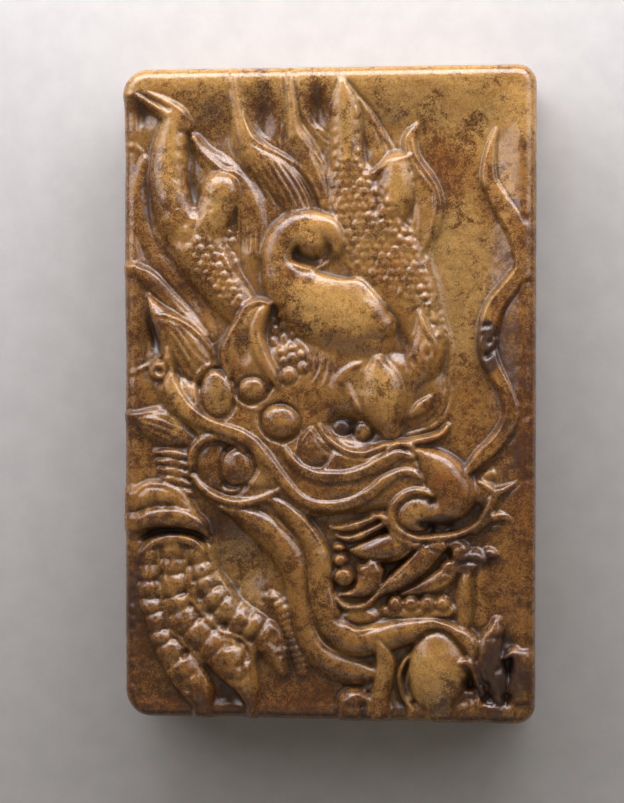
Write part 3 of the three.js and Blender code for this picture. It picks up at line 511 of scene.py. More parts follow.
# The crest of the head, a bulb whose end curls up into a volute round a smooth dish

crest = {
    "mass": [(-4.2, 11.6, 2.4, 2.5), (-2.4, 9.6, 3.2, 2.7), (0.4, 7.6, 3.6, 2.75), (3.0, 6.2, 3.4, 2.7),
             (4.6, 5.4, 2.4, 2.5)],
    "bulb": [(0.9, 14.3, .45, 2.6), (0.9, 15.4, .9, 2.8), (0.1, 16.6, 1.25, 2.95), (-1.7, 17.0, 1.5, 3.0),
             (-3.6, 16.5, 1.6, 2.95), (-4.9, 15.0, 1.6, 2.85), (-5.0, 13.0, 1.75, 2.8),
             (-3.9, 11.3, 2.6, 2.85), (-2.0, 9.9, 3.1, 3.0), (0.4, 8.9, 3.6, 3.15), (2.6, 8.0, 3.4, 3.2),
             (4.2, 7.4, 2.5, 3.1), (5.1, 6.9, 1.6, 2.9)],
    "dish": (-1.95, 15.2, 2.0, 1.8, 2.78, .25, 60, -12),
    "crescent": [(-3.1, 15.2, .2), (-3.0, 14.3, .6), (-2.3, 13.6, .75), (-1.3, 13.5, .5), (-.7, 13.8, .2)],
    "lip": [(-3.6, 14.0, .15), (-3.0, 13.2, .3), (-2.0, 12.7, .34), (-0.7, 12.8, .3), (0.3, 13.5, .15)],
    "middle": (-1.6, 15.5, 1.5, 1.25, 2.98, .6),
    "peak": (-1.65, 15.3, .3, .3),
    "foldLines": [
        [(1.4, 13.9, .12), (2.6, 13.3, .18), (3.8, 12.0, .18), (5.2, 10.8, .18), (6.5, 9.2, .14),
         (6.9, 7.4, .1)],
    ],
    "worn": [(-4.0, 11.6, 1.2, .9, -.12, 20), (-1.4, 8.2, 1.6, .8, -.1, -10), (4.2, 8.8, 1.8, .7, .14, -38),
             (-3.2, 9.4, 1.0, .7, -.08, 0)],
}


def carveCrest(face):
    face.form(crest["mass"], drop=1.2, section="soft", edge=.9, join=.4)
    face.form(crest["bulb"], drop=1.2, edge=.3, join=.12)
    face.scoop(*crest["dish"], edge=.7)
    face.dome(*crest["middle"], join=.35, edge=.6)
    face.groove(crest["crescent"], depth=.36, section="soft")
    face.ridge(crest["lip"], height=.28, moat=.06)
    x, y, r, height = crest["peak"]
    face.swell(x, y, r, r, height)
    for line in crest["foldLines"]:
        face.ridge(line, height=.12, moat=.08)
    for place in crest["worn"]:
        face.swell(*place)


# The broad mass of the head under everything that is carved on it

head = {
    "cheekSide": [(-15.5, 0.5, 1.8, 2.0), (-13.0, -2.2, 3.2, 2.2), (-9.5, -5.2, 4.6, 2.2),
                  (-5.0, -8.0, 4.6, 2.2), (0.0, -8.6, 3.6, 2.3), (4.5, -8.2, 3.4, 2.3),
                  (9.0, -8.4, 3.0, 2.4)],
    "bridge": [(-9, -0.8, 3.5, 2.0), (-5.5, -1.5, 3.5, 2.0), (-1.5, -2.5, 3.0, 2.0), (2.0, -3.0, 2.5, 2.0)],
    "farSide": [(-4.0, 2.4, 3.2, 2.05), (0.0, 1.6, 3.6, 2.15), (4.5, 0.9, 3.8, 2.2), (8.8, 0.4, 3.2, 2.05)],
}


def carveHead(face):
    face.form(head["cheekSide"], drop=.9, section="flat", edge=1.2, join=.3)
    face.form(head["bridge"], drop=.6, section="flat", edge=1.6, join=.3)
    face.form(head["farSide"], drop=1.0, section="flat", edge=1.6, join=.4)


# The pointed frill behind the left brow, and the tufts below it

frill = {
    "valley": (-14.6, 9.6, 3.4, 2.2, -.55, -50),
    "valleyStrands": [
        [(-17.9, 12.2, .1), (-16.9, 11.2, .16), (-15.6, 9.9, .16), (-14.2, 8.6, .12)],
        [(-16.9, 12.6, .1), (-15.8, 11.4, .16), (-14.4, 9.9, .16), (-13.0, 8.2, .12)],
        [(-16.2, 13.1, .1), (-15.0, 11.9, .14), (-13.8, 10.4, .16), (-12.5, 8.4, .12)],
        [(-17.4, 10.6, .1), (-16.4, 9.8, .14), (-15.2, 8.7, .14), (-14.0, 7.9, .1)],
    ],
    "pit": (-17.5, 6.2, 1.15, 2.8, -1.15, 8),
    "leaf": [(-18.1, 9.8, .2, 2.5), (-17.3, 8.5, .8, 2.75), (-16.0, 6.8, 1.7, 2.75),
             (-14.6, 5.1, 2.4, 2.55), (-13.4, 3.5, 2.3, 2.25), (-12.4, 2.2, 1.4, 2.05)],
    "rims": [
        [(-18.1, 9.7, .2), (-17.7, 8.5, .34), (-16.8, 7.6, .38), (-16.5, 6.2, .34), (-16.3, 4.4, .28),
         (-16.1, 3.2, .2)],
        [(-17.0, 8.0, .18), (-15.8, 7.9, .28), (-14.7, 7.6, .3), (-13.3, 6.6, .3), (-11.9, 5.0, .28),
         (-11.0, 3.4, .2)],
    ],
    "strands": [
        [(-16.2, 6.9, .14), (-15.4, 6.0, .22), (-14.4, 4.5, .24), (-13.4, 2.8, .16)],
        [(-15.6, 7.2, .12), (-14.6, 5.9, .2), (-13.2, 3.8, .16)],
        [(-14.6, 7.0, .12), (-13.7, 6.0, .22), (-12.6, 4.4, .24), (-11.6, 3.2, .16)],
        [(-14.0, 6.9, .1), (-12.9, 5.4, .18), (-11.7, 3.9, .14)],
        [(-15.5, 4.6, .16), (-14.8, 3.3, .28), (-13.8, 1.9, .2)],
        [(-15.0, 5.4, .12), (-14.1, 3.8, .2), (-13.2, 2.2, .16)],
        [(-15.3, 3.2, .12), (-14.6, 1.9, .18), (-13.8, .9, .14)],
    ],
    "web": [(-16.5, 4.4, .16), (-17.4, 3.4, .26), (-18.3, 2.9, .3), (-19.2, 2.4, .26), (-20.2, 1.2, .16)],
    "tuft": [(-19.6, -1.9, .25, 2.1), (-18.3, -2.5, 1.1, 2.4), (-16.9, -3.1, 1.7, 2.45),
             (-15.5, -3.7, 1.7, 2.35), (-14.2, -4.4, 1.1, 2.05)],
    "tuftRim": [(-19.7, -2.0, .2), (-18.7, -1.7, .3), (-17.4, -1.4, .28), (-16.2, -1.2, .2)],
    "tuftStrands": [
        [(-18.8, -2.2, .12), (-17.2, -2.4, .2), (-15.6, -3.0, .2), (-14.2, -3.7, .14)],
        [(-18.7, -2.6, .12), (-17.2, -3.1, .2), (-15.7, -3.8, .2), (-14.4, -4.5, .14)],
        [(-18.5, -3.0, .12), (-17.2, -3.8, .2), (-15.9, -4.5, .2), (-14.9, -5.1, .12)],
    ],
    "steps": {"first": -5.9, "pitch": .86, "count": 5},
}


def carveFrill(face):
    face.swell(*frill["valley"])
    for line in frill["valleyStrands"]:
        face.ridge(line, height=.16, moat=.1)
    face.swell(*frill["pit"])
    face.form(frill["leaf"], drop=.9, section="soft", edge=.25)
    for line in frill["rims"]:
        face.ridge(line, height=.3)
    for line in frill["strands"]:
        face.ridge(line, height=.22, moat=.16)
    face.ridge(frill["web"], height=.3, moat=.1)
    face.form(frill["tuft"], drop=.8, section="soft")
    face.ridge(frill["tuftRim"], height=.22)
    for line in frill["tuftStrands"]:
        face.ridge(line, height=.22, moat=.2)
    steps = frill["steps"]
    for i in range(steps["count"]):
        y = steps["first"] - steps["pitch"] * i
        face.form([(-17.4 + .25 * i, y + .15, .22, 1.95), (-16.2, y + .05, .42, 2.15),
                   (-15.0, y - .2, .44, 2.1), (-13.9, y - .5, .24, 1.85)], drop=.5)


# The foreleg: two folds arching over its clawed fingers, which are cut across into plates

foreleg = {
    "upperFold": [(-20.4, -12.3, .4, 2.2), (-19.6, -10.9, 1.2, 2.45), (-18.2, -10.2, 1.45, 2.6),
                  (-16.5, -10.2, 1.45, 2.6), (-14.9, -10.9, 1.1, 2.4), (-13.6, -11.8, .5, 2.2)],
    "upperRim": [(-20.0, -11.0, .18), (-19.2, -9.6, .28), (-18.0, -8.85, .32), (-16.4, -8.95, .32),
                 (-14.9, -9.8, .28), (-13.7, -10.9, .2)],
    "upperDents": [(-17.5, -10.3, .5, .9, -.3, 15), (-19.3, -10.7, .5, .8, -.15, -30),
                   (-15.4, -10.6, .45, .7, -.2, 30)],
    "lowerFold": [(-20.0, -13.6, .6, 2.5), (-18.8, -12.7, 1.0, 2.9), (-16.9, -12.35, 1.15, 3.0),
                  (-14.8, -12.45, 1.15, 3.0), (-13.2, -13.1, .9, 2.8), (-12.4, -14.0, .4, 2.4)],
    "shadow": [(-19.4, -14.7, .3), (-17.3, -13.95, .46), (-15.2, -13.85, .46), (-13.2, -14.3, .42),
               (-12.2, -15.0, .3)],
    "cuff": [(-19.1, -16.0, .2, 2.1), (-17.9, -15.1, .46, 2.35), (-16.3, -14.65, .52, 2.45),
             (-14.6, -14.6, .5, 2.45), (-13.2, -15.1, .42, 2.35), (-12.5, -15.9, .2, 2.1)],
}
fingers = {
    "hand": [(-15.4, -16.4, 3.4, 1.85), (-14.8, -19.6, 4.0, 1.95), (-12.6, -22.8, 4.4, 2.0),
             (-10.0, -24.8, 3.4, 1.9)],
    "fineRibs": [(-5.4, -20.2, .6, 1.95), (-4.4, -21.9, .85, 2.1), (-3.6, -23.8, .9, 2.1),
                 (-3.1, -25.7, .9, 2.0), (-2.6, -27.8, .7, 1.8)],
    "right": [(-13.5, -15.4, .9, 2.2), (-12.9, -17.6, 1.05, 2.4), (-12.1, -19.4, 1.25, 2.55),
              (-11.0, -20.8, 1.35, 2.6), (-9.6, -22.1, 1.4, 2.6), (-7.9, -23.1, 1.4, 2.6),
              (-6.3, -24.2, 1.45, 2.6), (-5.3, -25.8, 1.3, 2.5), (-4.4, -27.9, .5, 2.1)],
    "left": [(-18.2, -15.3, .85, 2.2), (-18.2, -17.4, .95, 2.35), (-18.15, -19.4, 1.0, 2.45),
             (-18.1, -21.2, 1.0, 2.55), (-17.5, -22.9, 1.05, 2.65), (-16.9, -24.6, 1.2, 2.75),
             (-15.8, -26.3, 1.5, 2.9), (-14.4, -28.1, 1.8, 3.0), (-13.1, -30.1, 1.5, 2.9),
             (-12.3, -32.2, .5, 2.3)],
    "middle": [(-15.7, -15.0, 1.2, 2.3), (-15.7, -17.2, 1.25, 2.5), (-15.6, -19.4, 1.3, 2.6),
               (-15.0, -21.3, 1.4, 2.7), (-14.1, -23.0, 1.55, 2.8), (-12.5, -24.5, 1.65, 2.85),
               (-10.9, -25.7, 1.85, 3.0), (-9.5, -27.1, 2.0, 3.05), (-8.3, -28.9, 1.45, 2.8),
               (-7.4, -31.1, .45, 2.3)],
    # pitch of the cuts, their depth, phase and the share of the finger where they end
    "plates": {"fineRibs": (.66, .3, 0, 1), "right": (1.62, .42, .1, .72),
               "left": (1.72, .42, 0, .66), "middle": (1.86, .42, .3, .62)},
    "seams": [
        [(-14.3, -17.4, .14), (-14.1, -20.0, .22), (-13.2, -21.2, .26), (-11.9, -22.7, .28),
         (-10.5, -23.8, .28), (-9.3, -24.1, .26), (-8.1, -24.8, .26), (-7.4, -26.2, .22),
         (-7.0, -28.2, .14)],
        [(-12.4, -15.6, .14), (-11.4, -17.4, .22), (-10.2, -19.2, .26), (-8.8, -20.7, .28),
         (-7.4, -21.8, .22), (-6.2, -22.6, .14)],
        [(-17.2, -21.0, .12), (-16.3, -23.3, .2), (-14.9, -24.8, .24), (-13.4, -26.1, .24),
         (-12.4, -27.3, .16)],
    ],
    "clawTips": [
        [(-12.6, -27.6, .12), (-12.3, -28.8, .2), (-12.2, -30.2, .2), (-12.0, -31.6, .12)],
        [(-8.6, -26.0, .12), (-7.9, -27.4, .22), (-7.7, -28.8, .2), (-7.3, -30.4, .12)],
    ],
    "doubleCuts": [
        [(-16.9, -27.9, .1), (-15.9, -27.6, .2), (-14.7, -26.6, .2), (-13.9, -25.7, .1)],
        [(-12.7, -26.6, .1), (-11.8, -26.3, .2), (-10.7, -25.2, .2), (-10.1, -24.4, .1)],
        [(-8.4, -24.9, .1), (-7.5, -24.4, .18), (-6.6, -23.4, .18), (-6.1, -22.6, .1)],
    ],
    "grit": [(-14.4, -28.4, 2.2, 3.8, .5), (-9.4, -27.0, 2.2, 3.6, .5), (-5.6, -25.4, 1.6, 2.6, .45),
             (-16.2, -18.6, 3.8, 4.6, .26), (-10.6, -21.4, 4.0, 3.2, .3), (-16.4, -12.2, 4.0, 1.8, .35)],
    "clouds": [(-6.0, -20.4, .7, .5, .4), (-5.0, -21.2, .6, .45, .3), (-4.2, -20.6, .7, .45, .25),
               (-6.4, -21.4, .5, .4, .2)],
    "edgeLumps": 11,
}


def carveForeleg(face):
    face.form(foreleg["upperFold"], drop=.9, section="soft")
    face.ridge(foreleg["upperRim"], height=.28)
    for place in foreleg["upperDents"]:
        face.swell(*place)
    face.form(foreleg["lowerFold"], drop=1.2)


def carveFingers(face):
    face.form(fingers["hand"], drop=.5, section="flat", edge=.5, join=.3)
    for name in ("fineRibs", "right", "left", "middle"):
        pitch, depth, phase, last = fingers["plates"][name]
        face.form(fingers[name], drop=.9, section="round" if name == "fineRibs" else "soft",
                  ribs=pitch, ribDepth=depth, phase=phase, ribsTo=last)
    for line, height in zip(fingers["seams"], (.26, .26, .18)):
        face.ridge(line, height)
    for line in fingers["clawTips"]:
        face.ridge(line, height=.18, moat=.14)
    for line in fingers["doubleCuts"]:
        face.groove(line, depth=.3)
    for i, place in enumerate(fingers["grit"]):
        face.pitted(*place, size=.34, seed=70 + i)
    for place in fingers["clouds"]:
        face.swell(*place)
    face.form(foreleg["cuff"], drop=.5)
    face.groove(foreleg["shadow"], depth=1.1)
    for i in range(fingers["edgeLumps"]):
        face.swell(-20.0 + .05 * i, -16.2 - 1.35 * i, .7, .7, .35)


# The outer cheek, and the inner cheek that turns along the foot edge into the lower lip

jaw = {
    "cheek": [(-10.9, -11.2, .4, 2.35), (-8.6, -12.0, 1.1, 2.5), (-6.1, -13.4, 1.65, 2.6),
              (-4.1, -15.7, 1.7, 2.65), (-3.0, -18.2, 1.35, 2.65), (-2.7, -21.0, 1.3, 2.6),
              (-1.9, -24.0, 1.4, 2.5), (-0.1, -26.6, 1.6, 2.4), (2.4, -27.6, 1.6, 2.2),
              (4.4, -27.8, .9, 2.0)],
    "cheekFacet": [(-4.4, -16.7, .14), (-3.6, -16.3, .2), (-2.6, -15.8, .14)],
    "innerCheek": [(-6.0, -10.3, .4, 2.6), (-4.0, -11.6, .9, 2.7), (-2.2, -13.7, 1.0, 2.8),
                   (-1.0, -16.4, 1.1, 2.8), (-0.6, -19.4, 1.15, 2.8), (0.3, -22.5, 1.3, 2.8),
                   (2.3, -24.6, 1.4, 2.8), (5.2, -24.4, 1.45, 2.8), (8.2, -23.6, 1.35, 2.85),
                   (11.0, -23.4, 1.15, 2.85), (13.4, -24.0, 1.0, 2.85), (14.4, -24.6, .7, 2.8)],
    "lipRim": [(-3.2, -11.6, .16), (-2.4, -12.2, .24), (-1.2, -13.8, .26), (-0.3, -15.6, .28),
               (0.3, -17.5, .28), (0.5, -19.6, .28), (0.8, -21.3, .28), (1.7, -22.7, .28),
               (3.0, -23.5, .28), (4.5, -23.1, .26), (5.9, -22.5, .24), (7.6, -22.2, .24),
               (9.4, -22.2, .26), (11.4, -22.6, .26), (13.4, -23.1, .18)],
    "cheekRim": [(-7.0, -11.2, .16), (-5.6, -11.9, .24), (-4.2, -13.2, .28), (-2.8, -14.9, .28),
                 (-1.95, -17.0, .28), (-1.6, -19.6, .26), (-1.3, -22.4, .24), (-0.4, -24.6, .24),
                 (1.2, -25.8, .26), (3.2, -26.2, .24), (4.4, -26.0, .14)],
}


def carveJaw(face):
    face.form(jaw["cheek"], drop=1.2, section="soft")
    face.ridge(jaw["cheekFacet"], height=.1, moat=.05)
    face.form(jaw["innerCheek"], drop=1.1)
    face.ridge(jaw["cheekRim"], height=.22, moat=.14)
    face.ridge(jaw["lipRim"], height=.26)


# The open mouth: folds of the upper lip, tongue, tongue tip, teeth, fang and the beard behind them

mouth = {
    "hollow": (6.6, -18.0, 6.6, 4.6, -.5, 20),
    "folds": [
        [(0.3, -13.35, .12, 2.0), (1.4, -13.3, .34, 2.25), (2.8, -13.0, .46, 2.4), (4.2, -12.5, .42, 2.45),
         (5.5, -11.9, .3, 2.4)],
        [(0.9, -14.1, .12, 1.95), (2.2, -14.25, .36, 2.2), (3.6, -13.9, .46, 2.35), (4.9, -13.3, .42, 2.4),
         (6.0, -12.7, .3, 2.4)],
    ],
    "foldLines": [
        [(1.6, -13.1, .1), (3.0, -12.7, .14), (4.4, -12.2, .12)],
        [(2.0, -13.9, .1), (3.4, -13.6, .14), (4.8, -12.9, .12)],
    ],
    "wing": [(4.3, -12.0, .2, 2.4), (5.4, -12.1, .36, 2.55), (6.3, -12.9, .44, 2.6), (7.1, -14.0, .48, 2.6),
             (8.2, -14.9, .48, 2.6), (9.6, -15.1, .42, 2.5)],
    "tongue": [(2.2, -15.45, .14, 1.9), (3.2, -15.5, .75, 2.2), (4.6, -15.5, 1.25, 2.45),
               (6.1, -15.3, 1.5, 2.55), (7.5, -15.0, 1.35, 2.5), (8.6, -14.8, .7, 2.4)],
    "tongueLines": [
        [(2.4, -15.4, .12), (3.6, -14.9, .2), (4.8, -14.3, .22), (5.9, -13.7, .16)],
        [(2.8, -15.8, .12), (4.2, -16.1, .2), (5.8, -16.2, .24), (7.2, -15.7, .22), (8.0, -14.9, .16)],
        [(3.4, -16.3, .1), (4.8, -16.8, .18), (6.3, -16.8, .22), (7.6, -16.2, .2), (8.5, -15.2, .14)],
    ],
    "lowerLip": [(4.9, -20.1, .3, 2.0), (6.0, -19.3, .72, 2.25), (7.3, -18.4, 1.0, 2.4),
                 (8.7, -17.2, 1.15, 2.5), (9.9, -16.0, 1.15, 2.5), (10.9, -15.0, .8, 2.4)],
    "lipLines": [
        [(4.4, -20.3, .14), (5.3, -19.4, .24), (6.2, -18.4, .26), (7.4, -17.4, .26), (8.4, -16.4, .24),
         (9.1, -15.4, .16)],
        [(5.2, -20.0, .12), (6.2, -19.0, .16), (7.4, -18.0, .16), (8.6, -16.8, .16), (9.4, -15.8, .12)],
    ],
    "tip": [(1.3, -20.0, .12, 1.9), (2.6, -19.8, .4, 2.15), (3.6, -19.3, .95, 2.45),
            (4.3, -18.4, 1.2, 2.55), (4.6, -17.4, .9, 2.45)],
    "tipBosses": [(3.6, -17.5, .52, .5, 2.6, .45), (5.0, -17.7, .65, .62, 2.65, .45)],
    "pocketRim": [(0.8, -19.9, .14, 2.2), (1.3, -20.8, .3, 2.25), (2.3, -21.35, .4, 2.3),
                  (3.5, -21.2, .42, 2.3), (4.5, -20.5, .4, 2.2), (5.2, -19.7, .24, 2.1)],
    "gum": (3.2, -22.2, 2.0, .8, 1.85, .5),
    "plate": [(6.0, -21.6, .5, 1.9), (7.6, -21.5, .85, 2.0), (10.0, -21.4, .9, 2.0),
              (12.0, -21.4, .7, 1.95)],
    "teeth": {"first": 6.95, "pitch": 1.5, "y": -20.9, "rx": .74, "ry": .82, "count": 4},
    "molar": [(7.6, -19.9, .3, 1.55), (9.2, -19.4, .7, 1.85), (10.8, -18.7, .95, 2.1),
              (12.0, -18.0, .85, 2.05), (12.6, -17.6, .4, 1.9)],
    "molarLines": [
        [(9.6, -19.0, .12), (10.8, -18.4, .2), (11.8, -18.0, .14)],
        [(10.2, -19.5, .12), (11.4, -19.0, .18), (12.2, -18.4, .14)],
    ],
    "sideTeeth": [(1.15, -15.15, .78, .4, 2.1, .4, 0), (1.25, -16.4, .76, .66, 2.25, .55, 0),
                  (1.65, -18.2, 1.05, 1.0, 2.25, .6, -12)],
    "fang": [(13.8, -17.5, .5, 2.35), (13.6, -19.4, .66, 2.45), (13.5, -21.2, .7, 2.4),
             (13.6, -22.7, .6, 2.3)],
    "fangEdges": [
        [(14.4, -17.7, .16), (14.3, -20.0, .22), (14.2, -22.0, .16)],
        [(13.0, -18.2, .12), (12.8, -20.2, .18), (12.7, -22.0, .14)],
    ],
    "fangBack": [(15.2, -17.4, .6, 1.75), (15.3, -19.8, .8, 1.8), (15.3, -22.4, .8, 1.8)],
    "beard": [(11.1, -14.95, .95, .7, 2.45, .7, 0), (12.7, -17.0, 1.5, .75, 2.0, .6, 10),
              (13.3, -15.7, 1.05, .95, 2.35, .7, -20), (14.9, -16.1, 1.1, .8, 2.3, .7, -35),
              (13.8, -17.0, 1.2, .6, 2.2, .6, 10), (12.8, -15.0, .95, .65, 2.35, .5, -10),
              (16.2, -15.6, .75, .55, 2.2, .5, -25)],
    "beardRough": (14.0, -16.0, 2.8, 1.8, .7),
    "beardCuts": [
        [(12.0, -14.5, .1), (12.0, -15.6, .2), (12.3, -16.8, .14)],
        [(13.0, -15.9, .12), (14.4, -15.4, .2), (15.8, -15.8, .14)],
        [(12.8, -16.8, .12), (14.4, -16.5, .18), (15.8, -16.8, .12)],
        [(13.6, -15.2, .1), (14.8, -14.9, .14)],
    ],
}


def carveMouth(face):
    face.swell(*mouth["hollow"])
    for line in mouth["folds"]:
        face.form(line, drop=.5)
    for line in mouth["foldLines"]:
        face.ridge(line, height=.1, moat=.08)
    face.form(mouth["molar"], drop=.7, edge=.25)
    for line in mouth["molarLines"]:
        face.ridge(line, height=.2, moat=.15)
    face.form(mouth["tongue"], drop=.9, section="soft")
    for line in mouth["tongueLines"]:
        face.ridge(line, height=.18, moat=.16)
    face.form(mouth["wing"], drop=.6)
    face.form(mouth["lowerLip"], drop=.9)
    for line in mouth["lipLines"]:
        face.ridge(line, height=.18, moat=.14)
    face.form(mouth["tip"], drop=.8)
    for boss in mouth["tipBosses"]:
        face.dome(*boss, join=.1)
    face.form(mouth["pocketRim"], drop=.6)
    face.dome(*mouth["gum"], edge=.3)
    face.form(mouth["plate"], drop=.5, section="flat")
    teeth = mouth["teeth"]
    for i in range(teeth["count"]):
        odd = i % 2  # every other tooth is a little smaller
        face.dome(teeth["first"] + teeth["pitch"] * i, teeth["y"] + .05 * i, teeth["rx"],
                  teeth["ry"] * (1 - .12 * odd), crest=2.4 - .08 * odd, drop=.6, moat=.22)
    for boss in mouth["sideTeeth"]:
        face.dome(*boss, section="flat", moat=.3)
    face.form(mouth["fangBack"], drop=.25, section="soft", edge=.6)
    face.form(mouth["fang"], drop=.7, section="soft")
    for line in mouth["fangEdges"]:
        face.ridge(line, height=.16)
    for boss in mouth["beard"]:
        face.dome(*boss, edge=.22)
    for line in mouth["beardCuts"]:
        face.groove(line, depth=.4)
    face.pitted(*mouth["beardRough"], size=.4, seed=41)


# The near brow: a disc in its ring, the ear with a rolled edge, three bosses and the scales between

nearBrow = {
    "ring": [(-13.0, -1.7, .2), (-13.55, 0.0, .3), (-13.3, 1.6, .32), (-12.2, 2.7, .32), (-11.0, 2.9, .22)],
    "disc": (-11.1, 0.1, 1.7, 2.3, 2.55, .8, 12),
    "ear": [(-6.9, 8.4, .55, 2.85), (-7.7, 7.2, 1.35, 2.85), (-8.3, 5.4, 1.95, 2.7), (-8.0, 3.6, 2.3, 2.55),
            (-7.3, 1.8, 2.0, 2.3)],
    "earHollow": (-8.3, 4.6, 1.0, 2.6, -.5, -12),
    "earRoll": [(-5.9, 9.0, .35, 3.0), (-6.6, 8.0, .62, 3.1), (-7.2, 6.4, .7, 3.1), (-6.9, 4.8, .78, 3.05),
                (-6.2, 3.2, .76, 2.95), (-5.4, 1.9, .62, 2.8), (-4.8, 0.8, .3, 2.5)],
    "earRollLine": [(-6.0, 8.4, .12), (-6.6, 7.2, .2), (-6.8, 5.8, .22), (-6.1, 4.2, .22), (-5.1, 2.6, .2),
                    (-4.5, 1.2, .12)],
    "earEdge": [(-5.7, 9.0, .2, 2.95), (-6.9, 9.2, .36, 3.0), (-8.1, 8.6, .4, 3.0), (-8.9, 7.4, .4, 2.95),
                (-9.7, 6.0, .36, 2.85), (-10.2, 4.6, .34, 2.75), (-10.3, 3.0, .26, 2.5),
                (-9.8, 1.8, .18, 2.4)],
    "earGrooves": [
        [(-8.8, 6.2, .16), (-8.9, 4.8, .24), (-8.7, 3.2, .16)],
        [(-7.9, 6.8, .12), (-8.0, 5.2, .18), (-7.8, 3.6, .12)],
    ],
    "arc": [(-10.4, 2.6, .2), (-9.7, 1.2, .28), (-9.2, -0.2, .28), (-8.2, -1.2, .28), (-7.1, -1.5, .26),
            (-6.1, -1.2, .18)],
    "smallBoss": (-7.5, 0.6, 1.35, 1.3, 2.9, .9),
    "bossDents": [(-7.9, 0.2, .7, .5, -.22, 40), (-7.0, 1.0, .6, .5, -.16, -30),
                  (-5.3, -3.3, .9, .6, -.2, -20), (-4.0, -1.9, .8, .6, -.16, 30),
                  (-4.9, -1.7, .6, .5, .12, 0)],
    "bossTail": [(-7.0, -2.0, .18), (-6.9, -3.3, .28), (-6.1, -4.4, .22)],
    "bigBoss": (-4.7, -2.6, 1.8, 1.7, 3.0, 1.1),
    "lowBoss": [(-1.6, -3.5, .5, 2.75), (-1.7, -4.6, 1.5, 2.9), (-1.4, -5.8, 1.8, 2.7)],
    "lowBossEdges": [
        [(-3.5, -5.7, .18), (-2.7, -4.6, .28), (-1.8, -3.5, .3), (-0.8, -4.2, .28), (0.3, -5.6, .2)],
        [(-1.8, -3.6, .12), (-1.2, -4.8, .18), (-0.9, -6.0, .12)],
    ],
    "scales": [
        [(-5.6, 7.4), (-4.4, 7.9)],
        [(-5.8, 6.4), (-4.0, 7.0)],
        [(-5.5, 5.4), (-3.6, 6.0)],
        [(-5.2, 4.4), (-3.0, 5.0)],
        [(-4.5, 3.4), (-2.6, 4.0)],
    ],
    "scaleRings": [(-3.9, 2.0, .8, .8, 2.45, .35), (-2.5, 2.7, .6, .6, 2.4, .3)],
    "hairs": [
        [(-3.6, 5.7, .16), (-2.6, 5.0, .24), (-1.9, 3.8, .26), (-1.9, 2.4, .2), (-1.6, 1.2, .14)],
        [(-2.9, 5.0, .12), (-2.4, 3.8, .18), (-2.4, 2.6, .12)],
        [(-0.9, 4.6, .16), (-0.4, 3.6, .26), (-0.7, 2.3, .24), (-1.5, 1.1, .16)],
        [(-0.2, 4.4, .14), (0.3, 3.2, .24), (0.1, 2.0, .22), (-0.5, 0.9, .14)],
        [(0.6, 3.8, .14), (0.8, 2.8, .22), (0.6, 1.7, .16)],
        [(-1.4, 4.2, .12), (-1.1, 3.2, .18), (-1.4, 2.0, .12)],
    ],
}


def carveNearBrow(face):
    face.ridge(nearBrow["ring"], height=.24)
    face.dome(*nearBrow["disc"], section="flat", moat=.45)
    face.form(nearBrow["ear"], drop=1.2, section="flat")
    face.swell(*nearBrow["earHollow"])
    face.form(nearBrow["earRoll"], drop=.9)
    face.ridge(nearBrow["earRollLine"], height=.1, moat=.05)
    face.form(nearBrow["earEdge"], drop=.5)
    for line in nearBrow["earGrooves"]:
        face.groove(line, depth=.24)
    face.ridge(nearBrow["arc"], height=.24)
    face.dome(*nearBrow["smallBoss"], moat=.4)
    face.ridge(nearBrow["bossTail"], height=.22)
    face.dome(*nearBrow["bigBoss"], moat=.5)
    for place in nearBrow["bossDents"]:
        face.swell(*place)
    face.form(nearBrow["lowBoss"], drop=1.0, section="soft")
    for line, height in zip(nearBrow["lowBossEdges"], (.24, .14)):
        face.ridge(line, height)
    for i, row in enumerate(nearBrow["scales"]):
        face.beadRow(row, r=.46, pitch=.95, height=.22, moat=.16, shift=.45 * (i % 2), seed=100 + i)
    for ring in nearBrow["scaleRings"]:
        face.dome(*ring, moat=.22)
    for line in nearBrow["hairs"]:
        face.ridge(line, height=.3, moat=.16)


# The far brow: curled folds, a tall dome, the sunk far eye, a small lens and the root of the right ear

